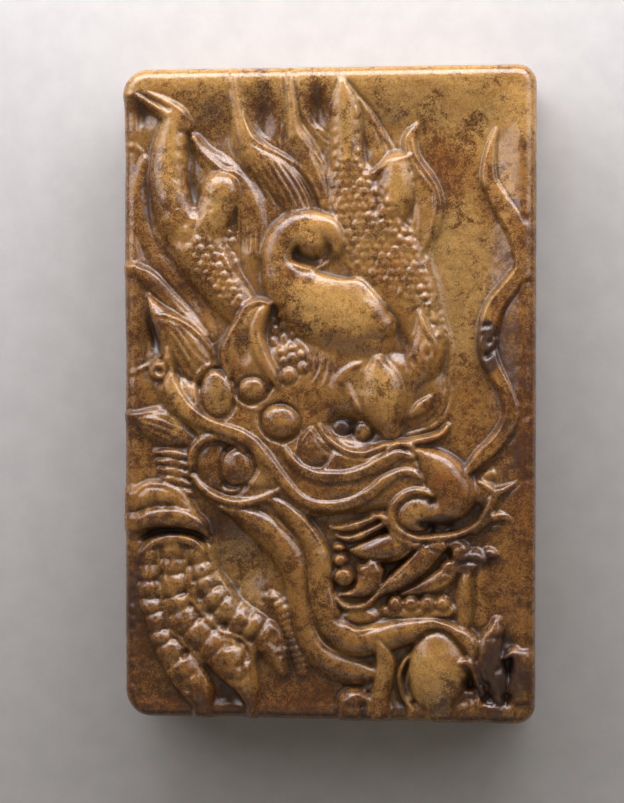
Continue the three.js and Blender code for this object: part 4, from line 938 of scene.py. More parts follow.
farBrow = {
    "folds": [
        [(1.1, -1.2, .3, 2.3), (0.75, 0.2, .55, 2.5), (1.3, 1.7, .6, 2.6), (2.6, 2.9, .35, 2.6),
         (3.4, 3.2, .15, 2.5)],
        [(3.3, -1.6, .3, 2.4), (2.6, -0.6, .6, 2.55), (2.1, 0.5, .6, 2.6), (2.0, 1.6, .4, 2.5),
         (2.6, 2.3, .2, 2.4)],
    ],
    "foldLines": [
        [(1.8, 1.6, .12), (2.1, .4, .24), (2.8, -.8, .26), (3.5, -1.8, .14)],
        [(1.4, .9, .1), (1.3, 0, .2), (1.8, -1.0, .12)],
    ],
    "dome": [(5.0, 3.4, .8, 2.75), (5.1, 2.4, 1.7, 2.95), (5.4, 1.0, 2.1, 3.1), (5.6, -.6, 2.2, 3.1),
             (5.9, -2.2, 1.8, 2.9), (6.3, -3.4, 1.0, 2.6)],
    "domeTips": [(5.2, 3.6, .5, .6, .2, 0), (3.5, 2.4, .35, .7, .2, -10)],
    "socket": (2.2, -3.2, 3.4, 1.9, -1.6, -10),
    "eyeBeads": [(3.5, -3.5, 1.0, .95, 1.9, .8), (1.4, -3.2, .9, .8, 1.5, .6)],
    "lowerLid": [(-0.9, -2.9, .2, 2.3), (0.0, -4.3, .34, 2.45), (1.6, -5.5, .4, 2.5), (3.6, -5.8, .4, 2.5),
                 (5.5, -5.0, .3, 2.5), (6.8, -4.6, .2, 2.4)],
    "lidLine": [(-1.3, -3.4, .1), (-.2, -5.0, .18), (1.4, -6.2, .2), (3.6, -6.5, .2), (5.4, -5.8, .14)],
    "hollow": (9.6, -.8, 2.3, 2.1, -.45, 0),
    "lens": [(10.4, 0.2, .15, 2.3), (9.9, -0.5, .5, 2.45), (9.2, -1.3, .62, 2.45), (8.4, -2.0, .3, 2.3)],
    "rings": [
        [(11.8, 1.7, .12), (12.3, .6, .24), (12.2, -1.0, .28), (11.3, -2.5, .3), (9.7, -3.4, .3),
         (7.4, -4.1, .16)],
        [(11.2, 1.2, .1), (11.6, .1, .2), (11.3, -1.4, .22), (10.3, -2.6, .24), (8.8, -3.1, .16)],
        [(10.9, .6, .1), (10.9, -.6, .16), (10.3, -1.8, .18), (9.2, -2.6, .12)],
    ],
    "lashes": [
        [(6.9, -4.9, .2, 2.4), (8.2, -4.6, .34, 2.5), (9.8, -4.3, .36, 2.5), (11.2, -3.9, .3, 2.4),
         (12.0, -3.0, .18, 2.2)],
    ],
    "uprightHairs": ([(12.2, -1.6), (12.3, -3.0), (12.2, -4.4), (12.0, -5.6)],
                     [(13.3, -1.8), (13.4, -3.2), (13.3, -4.6), (13.0, -6.0)], 3),
    "earRoot": [(9.1, 8.6, .2, 2.7), (9.5, 7.3, .7, 2.8), (9.7, 5.9, 1.3, 2.9), (9.7, 4.5, 1.75, 3.0),
                (9.4, 3.1, 1.75, 2.9), (8.9, 1.9, 1.3, 2.6), (8.5, .9, .6, 2.3)],
    "earEdge": [(9.0, 8.4, .14), (9.5, 7.4, .3), (10.1, 6.3, .36), (10.8, 5.2, .36), (11.1, 4.2, .3),
                (11.0, 3.2, .16)],
    "earShell": [
        [(9.9, 5.6, .12), (9.6, 4.7, .3), (9.5, 3.8, .36), (9.9, 3.0, .16)],
        [(9.0, 4.6, .12), (8.9, 3.9, .26), (9.2, 3.2, .28), (9.8, 2.6, .14)],
        [(8.4, 3.6, .1), (8.5, 2.9, .2), (9.0, 2.3, .12)],
        [(10.5, 4.6, .1), (10.4, 3.9, .22), (10.6, 3.2, .12)],
    ],
    "earFold": [(7.7, 6.2, .12), (7.6, 5.2, .22), (7.9, 4.2, .22), (8.1, 3.0, .12)],
    "earBeads": [(10.3, 9.2, .42), (10.75, 7.7, .46), (11.2, 6.0, .46), (9.6, 9.9, .4), (7.2, 10.2, .4),
                 (9.3, 10.6, .42), (11.5, 4.6, .34)],
    "worn": (9.6, 4.2, 1.7, 2.6, .2),
}


def carveFarBrow(face):
    for line in farBrow["folds"]:
        face.form(line, drop=.6, join=.08)
    for line in farBrow["foldLines"]:
        face.ridge(line, height=.22)
    face.form(farBrow["dome"], drop=1.3, join=.06)
    for place in farBrow["domeTips"]:
        face.swell(*place)
    face.swell(*farBrow["socket"])
    for bead in farBrow["eyeBeads"]:
        face.dome(*bead)
    face.form(farBrow["lowerLid"], drop=.5)
    face.ridge(farBrow["lidLine"], height=.18, moat=.08)
    face.swell(*farBrow["hollow"])
    face.form(farBrow["lens"], drop=.4)
    for line, height in zip(farBrow["rings"], (.34, .26, .2)):
        face.ridge(line, height, moat=.08)
    for line in farBrow["lashes"]:
        face.form(line, drop=.45)
    face.hairs(*farBrow["uprightHairs"], height=.24, half=.22)
    face.form(farBrow["earRoot"], drop=1.0, join=.15)
    face.ridge(farBrow["earEdge"], height=.36, moat=.1)
    for line in farBrow["earShell"]:
        face.ridge(line, height=.32, moat=.12)
    face.ridge(farBrow["earFold"], height=.16)
    for x, y, r in farBrow["earBeads"]:
        face.bead(x, y, r, .24, .1)
    face.pitted(*farBrow["worn"], size=.24, seed=23)


# The near eye: its socket, the white, the corner, the ball and both lids

nearEye = {
    "socket": (-10.2, -7.4, 4.3, 3.7, -.95, -8),
    "white": (-11.7, -6.9, 1.9, 2.6, 2.2, .8, 8),
    "corner": [(-7.8, -7.2, .7, 2.4), (-7.1, -8.3, 1.2, 2.5), (-5.8, -9.0, .35, 2.4)],
    "ball": (-9.0, -7.2, 1.75, 1.95, 2.7, .9),
    "iris": [(-10.2, -6.9, .14), (-9.7, -6.0, .2), (-8.7, -5.7, .2), (-7.9, -6.5, .2), (-7.9, -7.8, .2),
             (-8.8, -8.6, .18), (-9.9, -8.1, .14)],
    "pupil": (-9.0, -7.1, .7, .75, .16),
    "upperLid": [(-13.9, -7.6, .25, 2.4), (-13.7, -5.9, .42, 2.55), (-12.7, -4.7, .48, 2.65),
                 (-11.0, -4.25, .5, 2.65), (-9.4, -4.7, .44, 2.6), (-8.3, -5.6, .3, 2.6)],
    "innerLid": [(-7.7, -5.2, .22, 2.7), (-6.9, -6.6, .34, 2.7), (-5.9, -8.0, .34, 2.7),
                 (-5.2, -9.2, .2, 2.6)],
    "underBall": [(-11.0, -9.2, .2), (-10.2, -9.6, .3), (-9.2, -9.6, .32), (-8.1, -8.9, .22)],
    "lowerLid": [(-13.6, -8.2, .25, 2.2), (-12.6, -9.3, .4, 2.45), (-11.2, -10.2, .42, 2.55),
                 (-9.4, -10.8, .44, 2.65), (-7.3, -10.7, .44, 2.65), (-5.4, -9.9, .36, 2.6),
                 (-4.5, -9.3, .2, 2.6)],
    "lashes": [
        [(-13.4, -9.4, .1), (-12.8, -10.2, .16), (-12.2, -10.8, .12)],
        [(-14.2, -8.8, .1), (-13.7, -9.8, .16), (-13.2, -10.6, .12)],
    ],
}


def carveNearEye(face):
    face.swell(*nearEye["socket"])
    face.dome(*nearEye["white"], section="soft", edge=.25)
    face.form(nearEye["corner"], drop=.6, section="flat")
    face.dome(*nearEye["ball"], moat=.4)
    face.groove(nearEye["iris"], depth=.26)
    face.swell(*nearEye["pupil"])
    face.form(nearEye["upperLid"], drop=.6)
    face.form(nearEye["innerLid"], drop=.5)
    face.ridge(nearEye["underBall"], height=.26)
    face.form(nearEye["lowerLid"], drop=.6)
    for line in nearEye["lashes"]:
        face.ridge(line, height=.2, moat=.1)


# The long brow from the left edge to the nose, and the bands that run with it

snout = {
    "longBrow": [(-16.0, 4.6, .3, 2.75), (-16.1, 2.8, .6, 2.85), (-15.7, 1.0, .75, 2.95),
                 (-14.8, -0.7, .88, 3.05), (-13.2, -2.2, .86, 3.05), (-11.4, -3.1, .76, 3.05),
                 (-9.4, -3.8, .74, 3.05), (-7.5, -4.9, .76, 3.05), (-6.0, -6.5, .76, 3.0),
                 (-4.6, -8.3, .7, 2.95), (-2.8, -10.1, .64, 2.95), (-0.6, -11.1, .62, 2.95),
                 (1.8, -11.0, .6, 2.95), (4.0, -9.9, .6, 2.95), (6.0, -8.3, .6, 2.95),
                 (8.0, -7.5, .56, 2.95), (10.0, -8.2, .3, 2.95)],
    "browEdge": [(-15.6, 3.6, .14), (-15.2, 2.0, .2), (-14.6, 0.2, .22), (-13.5, -1.4, .22),
                 (-11.7, -2.5, .2), (-9.5, -3.2, .2), (-7.4, -4.2, .2), (-5.4, -5.9, .2), (-3.7, -7.9, .2),
                 (-2.1, -9.6, .18), (-0.1, -10.6, .16)],
    "curlAtStart": (-17.0, 2.3, 1.15, 1.0, 2.5, .6, -10),
    "curlHole": (-16.95, 2.25, .75, .6, -.9, -30),
    "bump": (-16.5, 0.4, .8, .7, .4),
    "upperBand": [(-4.6, -4.9, .2, 2.8), (-3.8, -6.2, .42, 2.9), (-2.6, -7.3, .55, 2.95),
                  (-0.8, -8.0, .64, 2.95), (1.4, -8.2, .68, 2.95), (3.4, -7.7, .7, 2.95),
                  (5.2, -6.7, .68, 2.95), (7.0, -5.8, .62, 2.95), (8.6, -6.0, .34, 2.9)],
    "bandLines": [
        [(-4.4, -5.1, .12), (-3.3, -6.6, .18), (-1.7, -7.6, .18), (0.7, -8.0, .2), (3.2, -7.6, .2),
         (5.2, -6.4, .2), (7.2, -5.5, .16)],
        [(3.6, -8.5, .12), (5.2, -7.4, .18), (7.0, -6.6, .18), (8.8, -6.8, .12)],
    ],
    "middleRidge": [(0.4, -11.6, .14), (2.4, -11.3, .2), (4.4, -10.2, .22), (6.2, -8.9, .22),
                    (8.2, -8.2, .2), (10.0, -8.9, .14)],
    "noseTopCurl": [(5.9, -5.4, .2, 2.7), (6.9, -4.8, .34, 2.85), (8.1, -4.9, .38, 2.9),
                    (8.9, -5.7, .3, 2.85)],
    "fieldSwells": [(1.0, -6.4, 1.8, .9, .25), (1.3, -9.6, 3.2, 1.0, .25), (-2.0, -8.9, 1.2, .6, .15)],
}


def carveSnout(face):
    face.form(snout["longBrow"], drop=1.0, rims=.12)
    face.ridge(snout["browEdge"], height=.16, moat=.08)
    face.dome(*snout["curlAtStart"], moat=.3)
    face.swell(*snout["curlHole"])
    face.swell(*snout["bump"])
    for place in snout["fieldSwells"]:
        face.swell(*place)
    face.form(snout["upperBand"], drop=.8, rims=.1)
    for line in snout["bandLines"]:
        face.ridge(line, height=.14, moat=.1)
    face.form(snout["noseTopCurl"], drop=.45)
    face.ridge(snout["middleRidge"], height=.16, moat=.1)


# The bulbous nose, the ball of its nostril inside a rolled curl, and the barbs beside it

nose = {
    "shoulder": (15.6, -9.6, 1.3, 1.5, 2.1, .6),
    "barbs": [
        ([(14.6, -13.4, .4, 2.3), (15.5, -12.3, .5, 2.4), (16.2, -11.0, .5, 2.45), (16.8, -9.8, .5, 2.5),
          (17.8, -9.2, .36, 2.55), (19.3, -8.1, .12, 2.6)], .8),
        ([(15.0, -8.6, .15, 2.3), (15.9, -9.1, .34, 2.45), (16.8, -9.7, .4, 2.45)], .6),
        ([(15.2, -13.0, .25, 2.1), (16.4, -12.1, .45, 2.25), (17.6, -11.8, .5, 2.35),
          (18.5, -12.3, .4, 2.35), (18.7, -13.3, .12, 2.3)], .7),
    ],
    "barbLump": (16.2, -8.0, .8, .55, 2.15, .6, 15),
    "barbLine": [(16.2, -13.1, .15), (17.1, -12.8, .22), (17.6, -13.4, .15)],
    "body": [(9.2, -5.5, .5, 2.8), (10.5, -6.6, 1.35, 3.1), (11.8, -8.1, 1.95, 3.25),
             (12.6, -9.8, 2.15, 3.25), (12.3, -11.2, 1.95, 3.05), (11.3, -12.0, 1.5, 2.8)],
    "ball": (8.9, -11.8, 2.1, 1.75, 2.95, 1.0, 5),
    "underside": [(8.9, -12.6, .25), (10.3, -12.95, .5), (12.0, -12.9, .55), (13.5, -12.2, .42),
                  (14.5, -11.2, .2)],
    "roll": [(10.7, -10.0, .2, 3.0), (9.8, -9.5, .42, 3.05), (8.5, -9.5, .52, 3.0), (7.2, -10.2, .52, 2.95),
             (6.5, -11.4, .52, 2.85), (6.6, -12.7, .5, 2.75), (7.5, -13.7, .48, 2.65),
             (9.0, -14.25, .42, 2.6), (11.0, -14.15, .4, 2.5), (12.8, -13.85, .38, 2.5),
             (14.3, -13.2, .36, 2.45), (15.3, -12.5, .25, 2.4)],
    "wornTop": (12.9, -8.0, 1.5, .8, .1, -50),
}


def carveNose(face):
    face.dome(*nose["shoulder"], section="soft", edge=.4)
    face.dome(*nose["barbLump"], edge=.3)
    for line, drop in nose["barbs"]:
        face.form(line, drop=drop)
    face.ridge(nose["barbLine"], height=.2)
    face.form(nose["body"], drop=1.5, edge=.22)
    face.dome(*nose["ball"], edge=.3, join=.25)
    face.groove(nose["underside"], depth=1.2, section="soft")
    face.form(nose["roll"], drop=.9)
    face.swell(*nose["wornTop"])


# The whisker that winds up the plain ground at the right

whisker = {
    "line": [(14.0, -7.4, .5, 2.2), (15.4, -6.0, .72, 2.4), (16.9, -4.6, .76, 2.5), (18.0, -3.0, .74, 2.75),
             (18.4, -1.3, .7, 2.9), (17.8, .4, .66, 2.75), (16.8, 2.0, .72, 2.55), (16.0, 3.6, .84, 2.4),
             (15.8, 5.4, .92, 2.4), (16.1, 7.5, .88, 2.4), (16.9, 9.4, .84, 2.45), (18.1, 11.0, .84, 2.75),
             (19.3, 12.7, .84, 2.95), (19.1, 15.4, .92, 2.9), (18.2, 17.4, .92, 2.65),
             (16.9, 19.4, .86, 2.25), (15.95, 21.4, .74, 2.15), (16.1, 23.8, .5, 2.1),
             (16.4, 25.4, .3, 2.1), (16.7, 26.5, .1, 2.1)],
    "root": (16.2, -7.9, .7, .5, 2.0, .5, 20),
    "pits": (15.85, 5.0, 1.1, 2.6, .6),
    "glints": (18.6, -2.6, 2.2, 3.4, .16),
}


def carveWhisker(face):
    face.form(whisker["line"], drop=.75, section="flat", rims=.32, edge=.2)
    face.pitted(*whisker["pits"], size=.2, seed=7)
    face.pitted(*whisker["glints"], size=.24, seed=9)
    face.dome(*whisker["root"])


# The pearl at the foot edge, the leg and foot beside it, and the claws that close over it

pearl = {
    "trough": (7.9, -28.6, 1.5, 3.6, -.7, 0),
    "sideFolds": [
        [(8.3, -25.9, .12, 2.2), (7.6, -26.9, .24, 2.2), (7.2, -28.2, .3, 2.1), (7.6, -29.8, .34, 2.0),
         (8.6, -31.4, .3, 1.9)],
        [(8.9, -26.4, .1, 2.0), (8.1, -27.6, .18, 2.0), (8.0, -29.0, .2, 1.9), (8.5, -30.4, .18, 1.8)],
    ],
    "ball": (11.2, -27.55, 3.15, 4.35, 3.3, 2.1, 3),
    "lipEnd": [(12.4, -23.4, .6, 2.9), (13.4, -24.0, 1.0, 3.1), (14.1, -24.8, 1.1, 3.2),
               (14.5, -25.6, .6, 3.0)],
    "leg": [(5.0, -24.4, .2, 2.9), (5.4, -25.4, .7, 2.95), (5.8, -26.7, .9, 2.9), (5.6, -28.4, .9, 2.8),
            (5.2, -30.0, .95, 2.75), (5.3, -31.4, 1.1, 2.7), (6.6, -32.2, .8, 2.5), (8.6, -32.0, .5, 2.3)],
    "legEdge": [(5.4, -24.6, .12), (6.2, -25.8, .2), (6.6, -27.0, .22), (6.3, -28.6, .2), (6.0, -30.2, .18),
                (6.2, -31.6, .12)],
    "foot": (2.7, -31.0, 1.75, 1.75, 2.7, 1.1),
    "footCrest": [(1.5, -30.6, .2), (2.3, -30.1, .34), (3.3, -29.6, .34), (4.2, -29.3, .2)],
    "footHollow": (3.6, -30.9, .7, 1.0, -.9, 0),
    "mass": [(14.2, -31.2, 1.7, 1.6, 2.5, 1.0, 0), (17.6, -31.0, 2.6, 1.6, 2.4, .9, 0)],
    "hollows": [(14.0, -28.6, .8, 1.1, -.8, -20), (18.0, -28.2, .6, 2.4, -.7, 5),
                (15.4, -29.6, .5, 1.2, -.5, 0), (18.3, -24.6, .9, .8, -.4, 0)],
    "claws": [
        ([(12.9, -26.5, .2, 3.1), (13.9, -26.4, .5, 3.2), (14.8, -27.0, .6, 3.15), (15.3, -28.2, .6, 2.9),
          (15.5, -29.6, .4, 2.5)], .8),
        ([(16.9, -22.6, .6, 2.4), (16.7, -23.6, 1.1, 2.75), (16.1, -25.0, 1.25, 2.95),
          (16.3, -26.8, 1.4, 3.1), (16.9, -28.5, 1.25, 3.0), (17.3, -30.2, .8, 2.6)], 1.3),
        ([(17.8, -26.0, .3, 2.6), (18.7, -25.7, .6, 2.8), (19.4, -26.6, .85, 2.9), (19.3, -28.2, 1.0, 3.0),
          (18.9, -30.0, 1.0, 2.8), (18.3, -31.3, .75, 2.5)], 1.2),
        ([(13.6, -29.7, .15, 2.3), (14.4, -29.5, .3, 2.45), (15.0, -30.1, .4, 2.4), (15.1, -31.2, .4, 2.2)],
         .7),
    ],
    "clawLines": [
        [(15.7, -25.4, .14), (15.9, -27.2, .2), (16.2, -29.2, .16)],
        [(18.6, -27.0, .12), (18.6, -28.8, .2), (18.3, -30.4, .14)],
        [(15.6, -24.2, .12), (16.6, -24.0, .2), (17.4, -24.4, .14)],
    ],
    "rough": [(16.8, -23.6, 1.6, 1.4, .2), (17.6, -29.4, 2.9, 3.4, .6), (15.0, -31.0, 2.4, 2.0, .6),
              (3.4, -31.7, 3.8, 1.4, .5), (5.9, -30.8, .9, 1.8, .2)],
}


def carvePearl(face):
    face.swell(*pearl["trough"])
    for line in pearl["sideFolds"]:
        face.form(line, drop=.5)
    face.form(pearl["lipEnd"], drop=1.0, join=.12)
    face.dome(*pearl["ball"], moat=.15)
    face.form(pearl["leg"], drop=1.1)
    face.ridge(pearl["legEdge"], height=.16, moat=.06)
    face.dome(*pearl["foot"], moat=.3)
    face.ridge(pearl["footCrest"], height=.25, moat=.05)
    face.swell(*pearl["footHollow"])
    for boss in pearl["mass"]:
        face.dome(*boss, edge=.5)
    for place in pearl["hollows"]:
        face.swell(*place)
    for line, drop in pearl["claws"]:
        face.form(line, drop=drop, edge=.2)
    for line in pearl["clawLines"]:
        face.groove(line, depth=.3)
    for i, place in enumerate(pearl["rough"]):
        face.pitted(*place, size=.32, seed=20 + i)


# Toward the outline everything draws near one level, so that the tablet keeps an even edge

def evenEdges(face, width, height):
    toSide = width / 2 - np.abs(face.gridX)
    toEnd = height / 2 - np.abs(face.gridY)
    nearness = 1 - smooth(*plaque["evenBand"], np.minimum(toSide, toEnd))
    towardHead = smooth(0, 0.3, np.maximum(face.gridX / width, face.gridY / height))
    level = plaque["footLevel"] + (plaque["fullGround"] - plaque["footLevel"]) * towardHead
    face.heights += plaque["evenShare"] * nearness * (level - face.heights)


# Wear takes the crests down more than the hollows, and polish rounds everything

def wearAndPolish(face):
    proud = face.heights - blurred(face.heights, plaque["wearSize"] / face.step)
    face.heights -= plaque["wear"] * np.maximum(proud, 0)
    fine, wide = [blurred(face.heights, size / face.step) for size in plaque["softenedSizes"]]
    face.heights -= plaque["softening"] * (fine - wide)
    broad, narrow = [softNoise(face.heights.shape, size / face.step, 11 + i)
                     for i, size in enumerate(plaque["toolMarkSizes"])]
    face.heights += plaque["toolMarks"] * (broad + 0.6 * narrow)
    face.heights = blurred(face.heights, plaque["polish"] / face.step)


def carveDragon(width, height):
    face = Face(width, height, plaque["gridStep"], plaque["wobble"], plaque["wobbleSize"])
    carveGround(face)
    carveMane(face)
    carveNeck(face)
    carveRightAntler(face)
    carveNeckBeads(face)
    carveLeftAntler(face)
    carveCrest(face)
    carveHead(face)
    carveFrill(face)
    carveForeleg(face)
    carveFingers(face)
    carveJaw(face)
    carveMouth(face)
    carveNearBrow(face)
    carveFarBrow(face)
    carveNearEye(face)
    carveSnout(face)
    carveNose(face)
    carveWhisker(face)
    carvePearl(face)
    evenEdges(face, width, height)
    wearAndPolish(face)
    return face


# Tones laid on the face, each at x, y over a half width and half height with a strength: the stone's own
# colours, with painted shade and painted highlight among them

tones = {
    # real dark stains, as on the whisker and the side edges, and painted shade in the far eye socket, the
    # frill's pit, under the nose, under the foreleg's fold, between the flames, in the mouth's gap and in the
    # hollows by the pearl
    "stainsAndShade": [(15.9, 5.0, 1.2, 2.6, 1.3), (18.6, 3.0, 2.0, 4.8, .5), (18.9, -5.0, 1.8, 4.2, .55),
               (15.2, -12.0, 2.2, 2.8, .55), (11.2, -12.7, 2.8, .8, .9), (-19.8, -21.5, .9, 7.0, .7),
               (2.0, -3.1, 1.6, 1.0, .95), (-16.0, -14.1, 3.4, .45, .95), (-12.0, -13.4, 1.6, 1.4, .7),
               (9.8, -19.6, 3.4, .9, .5), (17.4, -27.6, 3.0, 4.8, .85), (14.6, -16.2, 2.0, 1.2, .7),
               (14.4, -30.6, 2.4, 1.8, .4), (-17.8, -30.4, 3.4, 2.4, .4), (-2.4, -31.0, 6, 2.0, .4),
               (-3.4, -25.6, 1.4, 3.4, .6), (-17.5, 6.0, .8, 2.0, .85), (-6.2, 28.6, 1.0, 2.4, .5),
               (-1.3, 28.8, .8, 2.2, .5), (19.3, -20.6, .8, .7, .6), (7.7, -29.0, .8, 2.6, .7),
               (3.6, -30.8, .7, .8, .75), (-19.4, -1.0, 1.2, 4.6, .45), (12.4, -5.6, .7, 1.2, .4),
               (13.6, -28.8, .7, 1.6, .7)],
    # the stone's brown patches, and painted shade in the hollows between the flames at the head edge
    "browns": [(-1.0, -8.0, 24, 11, .3), (-11.8, 27.0, 1.8, 4.0, .5), (-3.8, 12.0, 2.2, 3.2, .5),
               (-3.0, 6.6, 3.6, 1.6, .55), (-5.4, 20.5, 6.0, 4.4, .65), (-17.4, 20, 3.8, 6.0, .6),
               (2.8, 20.5, 2.8, 3.6, .3), (-15.8, 11.4, 4.6, 4.6, .65), (-.4, -5.4, 5.2, 4.6, .6),
               (-16.2, -12.4, 3.6, 2.4, .35), (-8.0, -11.6, 3.6, 2.4, .4), (16.4, -12.0, 2.6, 4.0, .4),
               (.6, -20.4, 3.6, 3.4, .4), (-10.4, -3.0, 3.6, 2.6, .3), (16.2, 19.0, 2.0, 3.4, .4),
               (-12.6, 4.0, 2.4, 3.4, .3), (6.4, 11.6, 2.2, 1.6, .4), (-8.4, 8.0, 1.0, 2.4, .3),
               (11.8, 22.5, 2.6, 4.4, .8), (13.8, 26.0, 2.2, 2.4, .5), (9.2, 28.0, 1.6, 1.2, .5),
               (5.2, 28.6, 1.2, 1.6, .45), (14, 0.5, 2.4, 4.6, .35), (19.2, 2.0, 2.8, 10, .95),
               (19.2, 14.0, 1.8, 6, .6), (18.9, -8.0, 2.4, 7, .7), (17.6, -19.5, 3.8, 7, .4),
               (-10, -7, 3.8, 3.2, .75), (-20.3, 8, 1.6, 16, .55), (-16.5, -4.5, 3.6, 5, .5),
               (-19.2, -25, 2.6, 10, .95), (-10, -31.6, 13, 2.4, 1.0), (-2.0, -30.2, 6, 3.0, 1.0),
               (4.5, -31.8, 5, 1.6, .7), (15.5, -31, 6, 3, .9), (6.5, -17.6, 6, 4.6, .6),
               (-11.4, -12.8, 3.0, 2.2, .9), (-13.6, 10.4, 2.8, 3.4, .45), (-17.8, 18, 2.2, 9, .35),
               (14.2, -16.2, 3.0, 1.8, 1.0), (17.2, -27, 3.6, 6, .8), (-17.6, -12.2, 3.6, 2.6, .35),
               (-14.5, -24, 6, 8, .35), (-5.2, -24.5, 2.4, 4, .6), (-1.5, -6.2, 8, 3.6, .3),
               (-6.2, 28.8, 1.8, 3.4, .85), (-1.0, 28.8, 1.6, 3.2, .85), (-18.4, 28.0, 2.0, 2.2, .4),
               (-1.0, 3.6, 4.0, 1.8, .25)],
    # paler stone, and painted highlight along the head edge, at the top right corner, on top of the volute,
    # on the nose and at the lip's end
    "lights": [(-1.6, 15.5, 2.4, 2.0, .7), (-15.2, 8.6, .8, .8, .3), (0, 32.0, 23, 1.8, .9),
               (15.6, 28.6, 5.6, 4.0, 1.0), (8.8, 29.4, 5, 2.4, .7), (13.0, 12.5, 2.6, 8, .75),
               (17.6, 21.5, 2.0, 4, .45), (0.6, 9.0, 4.6, 3.0, 1.0), (-1.6, 17.2, 2.4, .9, .8),
               (-5.2, 13.4, 1.2, 2.6, .5), (-15.8, 23.5, 1.5, 6, .75), (-11.1, 19.8, 1.5, 2.6, .75),
               (-8.8, 28.4, .7, 3.2, .6), (-7.0, 24.0, 1.3, 2.0, .4), (-3.6, 28.8, .6, 2.8, .6),
               (-13.4, 14.8, 2.2, 2.6, .35), (1.8, 27.2, 1.0, 4, .85), (7.0, 21.2, 1.7, 2.8, .75),
               (-6.9, 6.2, 1.4, 3.4, .65), (-14.8, -.6, 1.4, 3.4, .75), (-9.0, -3.8, 3.4, .8, .3),
               (5.3, .4, 2.0, 2.7, 1.0), (9.8, 6.0, 1.3, 2.4, .5), (10.4, -27.2, 2.5, 3.6, 1.3),
               (8.4, -11.7, 1.4, 1.1, .5), (-.7, -18, .9, 4.6, .3), (-6.8, -8.4, 1.1, .9, .5),
               (-4.8, -2.4, 1.4, 1.3, .3), (6.4, -23.2, 4.0, .7, .3), (5.6, -27, .8, 2.4, .4),
               (-14.4, -20.5, 2.6, 4.0, .25), (12.0, -7.2, 1.4, 1.0, .4), (14.2, -24.8, 1.0, .8, .4),
               (-16.4, -9.8, 2.0, .8, .3)],
    "rusts": [(12.4, -9.0, 2.0, 2.4, .9), (19.9, -2.0, .9, 9, .6), (19.4, -10, 1.6, 5, .4),
              (17.5, -19.5, 3.0, 5, .3), (-10, -31.6, 12, 1.8, .35), (11.8, 22.6, 1.8, 3.2, .35),
              (-2.0, 15.4, .8, .8, .6), (-12, -28, 2.4, 4, .3), (8.4, 5.0, 3.0, 2.0, .3),
              (-6.6, 5.6, 1.4, 3, .3), (17.2, 7.6, .7, 1.2, .8), (13.9, -13.4, .6, .6, .8),
              (-20.2, -12, .7, 8, .4), (-1.0, -9.4, 2.4, 1.4, .35), (12.8, -26, 1.2, 1.2, .4),
              (-8.8, 3.2, 1.4, 1.2, .5), (4.0, -1.4, 2.0, 1.4, .35), (-20.3, 20, .7, 9, .4),
              (6.2, 12.0, 3, 1.2, .25)],
    "olives": [(0, 29.5, 24, 6.5, .6), (-12, 22, 8, 8, .3), (12.6, 12.5, 4.0, 9, .9),
               (15.5, -21.0, 3.6, 4.6, .3), (-9.6, -17.8, 3.4, 4.4, .8), (-2.7, 14.3, 1.1, .8, .9),
               (9.6, 27.4, 7, 3, .4), (3.2, -.6, 2.2, 2.4, .4), (-8.6, 3.6, 1.4, 2.8, .4),
               (6.6, 4.6, 2.2, 2.0, .4), (-12.8, 23.4, 1.4, 4, .5), (-11, 0, 1.8, 2.2, .7),
               (3.6, 15.5, 2.6, 4.0, .5)],
}


# Where the face is hollow or crest, and how ragged the tones lie

masks = {
    "nearSize": 0.45, "wideSize": 1.4,  # millimetres over which a place is told as hollow or crest
    "nearHollow": (0.02, 0.34), "wideHollow": (0.15, 1.1), "hollowShares": (0.6, 0.5),
    "nearCrest": (0.03, 0.3), "wideCrest": (0.2, 1.1), "crestShares": (0.7, 0.5),
    "raggedSize": 0.7, "raggedness": 0.16, "fadeOut": (1.45, 0.35),  # at the borders of the tones
}


def laidOn(face, places, seed):
    field = np.zeros_like(face.heights)
    ragged = softNoise(field.shape, masks["raggedSize"] / face.step, seed)
    for x, y, rx, ry, strength in places:
        win, a = face.ellipse(x, y, rx, ry, reach=1.9)
        laid = strength * smooth(*masks["fadeOut"], a + masks["raggedness"] * ragged[win])
        field[win] = np.maximum(field[win], laid)
    return field


def told(near, wide, nearRange, wideRange, shares):  # how surely a place is a hollow, or a crest
    return np.clip(shares[0] * smooth(*nearRange, near) + shares[1] * smooth(*wideRange, wide), 0, 1)


def stoneMasks(face):
    near = blurred(face.heights, masks["nearSize"] / face.step) - face.heights
    wide = blurred(face.heights, masks["wideSize"] / face.step) - face.heights
    # crevice later darkens the hollows as patina and painted shade; crest lightens the crests as wear and
    # painted highlight
    crevice = told(near, wide, masks["nearHollow"], masks["wideHollow"], masks["hollowShares"])
    crest = told(-near, -wide, masks["nearCrest"], masks["wideCrest"], masks["crestShares"])
    names = ("stainsAndShade", "browns", "olives", "lights", "rusts")
    return crevice, crest, [laidOn(face, tones[name], 31 + i) for i, name in enumerate(names)]


# The tablet: the carved face, its rounded edge, straight walls, a small back edge and a flat back

def cornerRadius(x):
    return np.where(x < 0, plaque["leftCorner"], plaque["rightCorner"]) - plaque["faceEdge"]


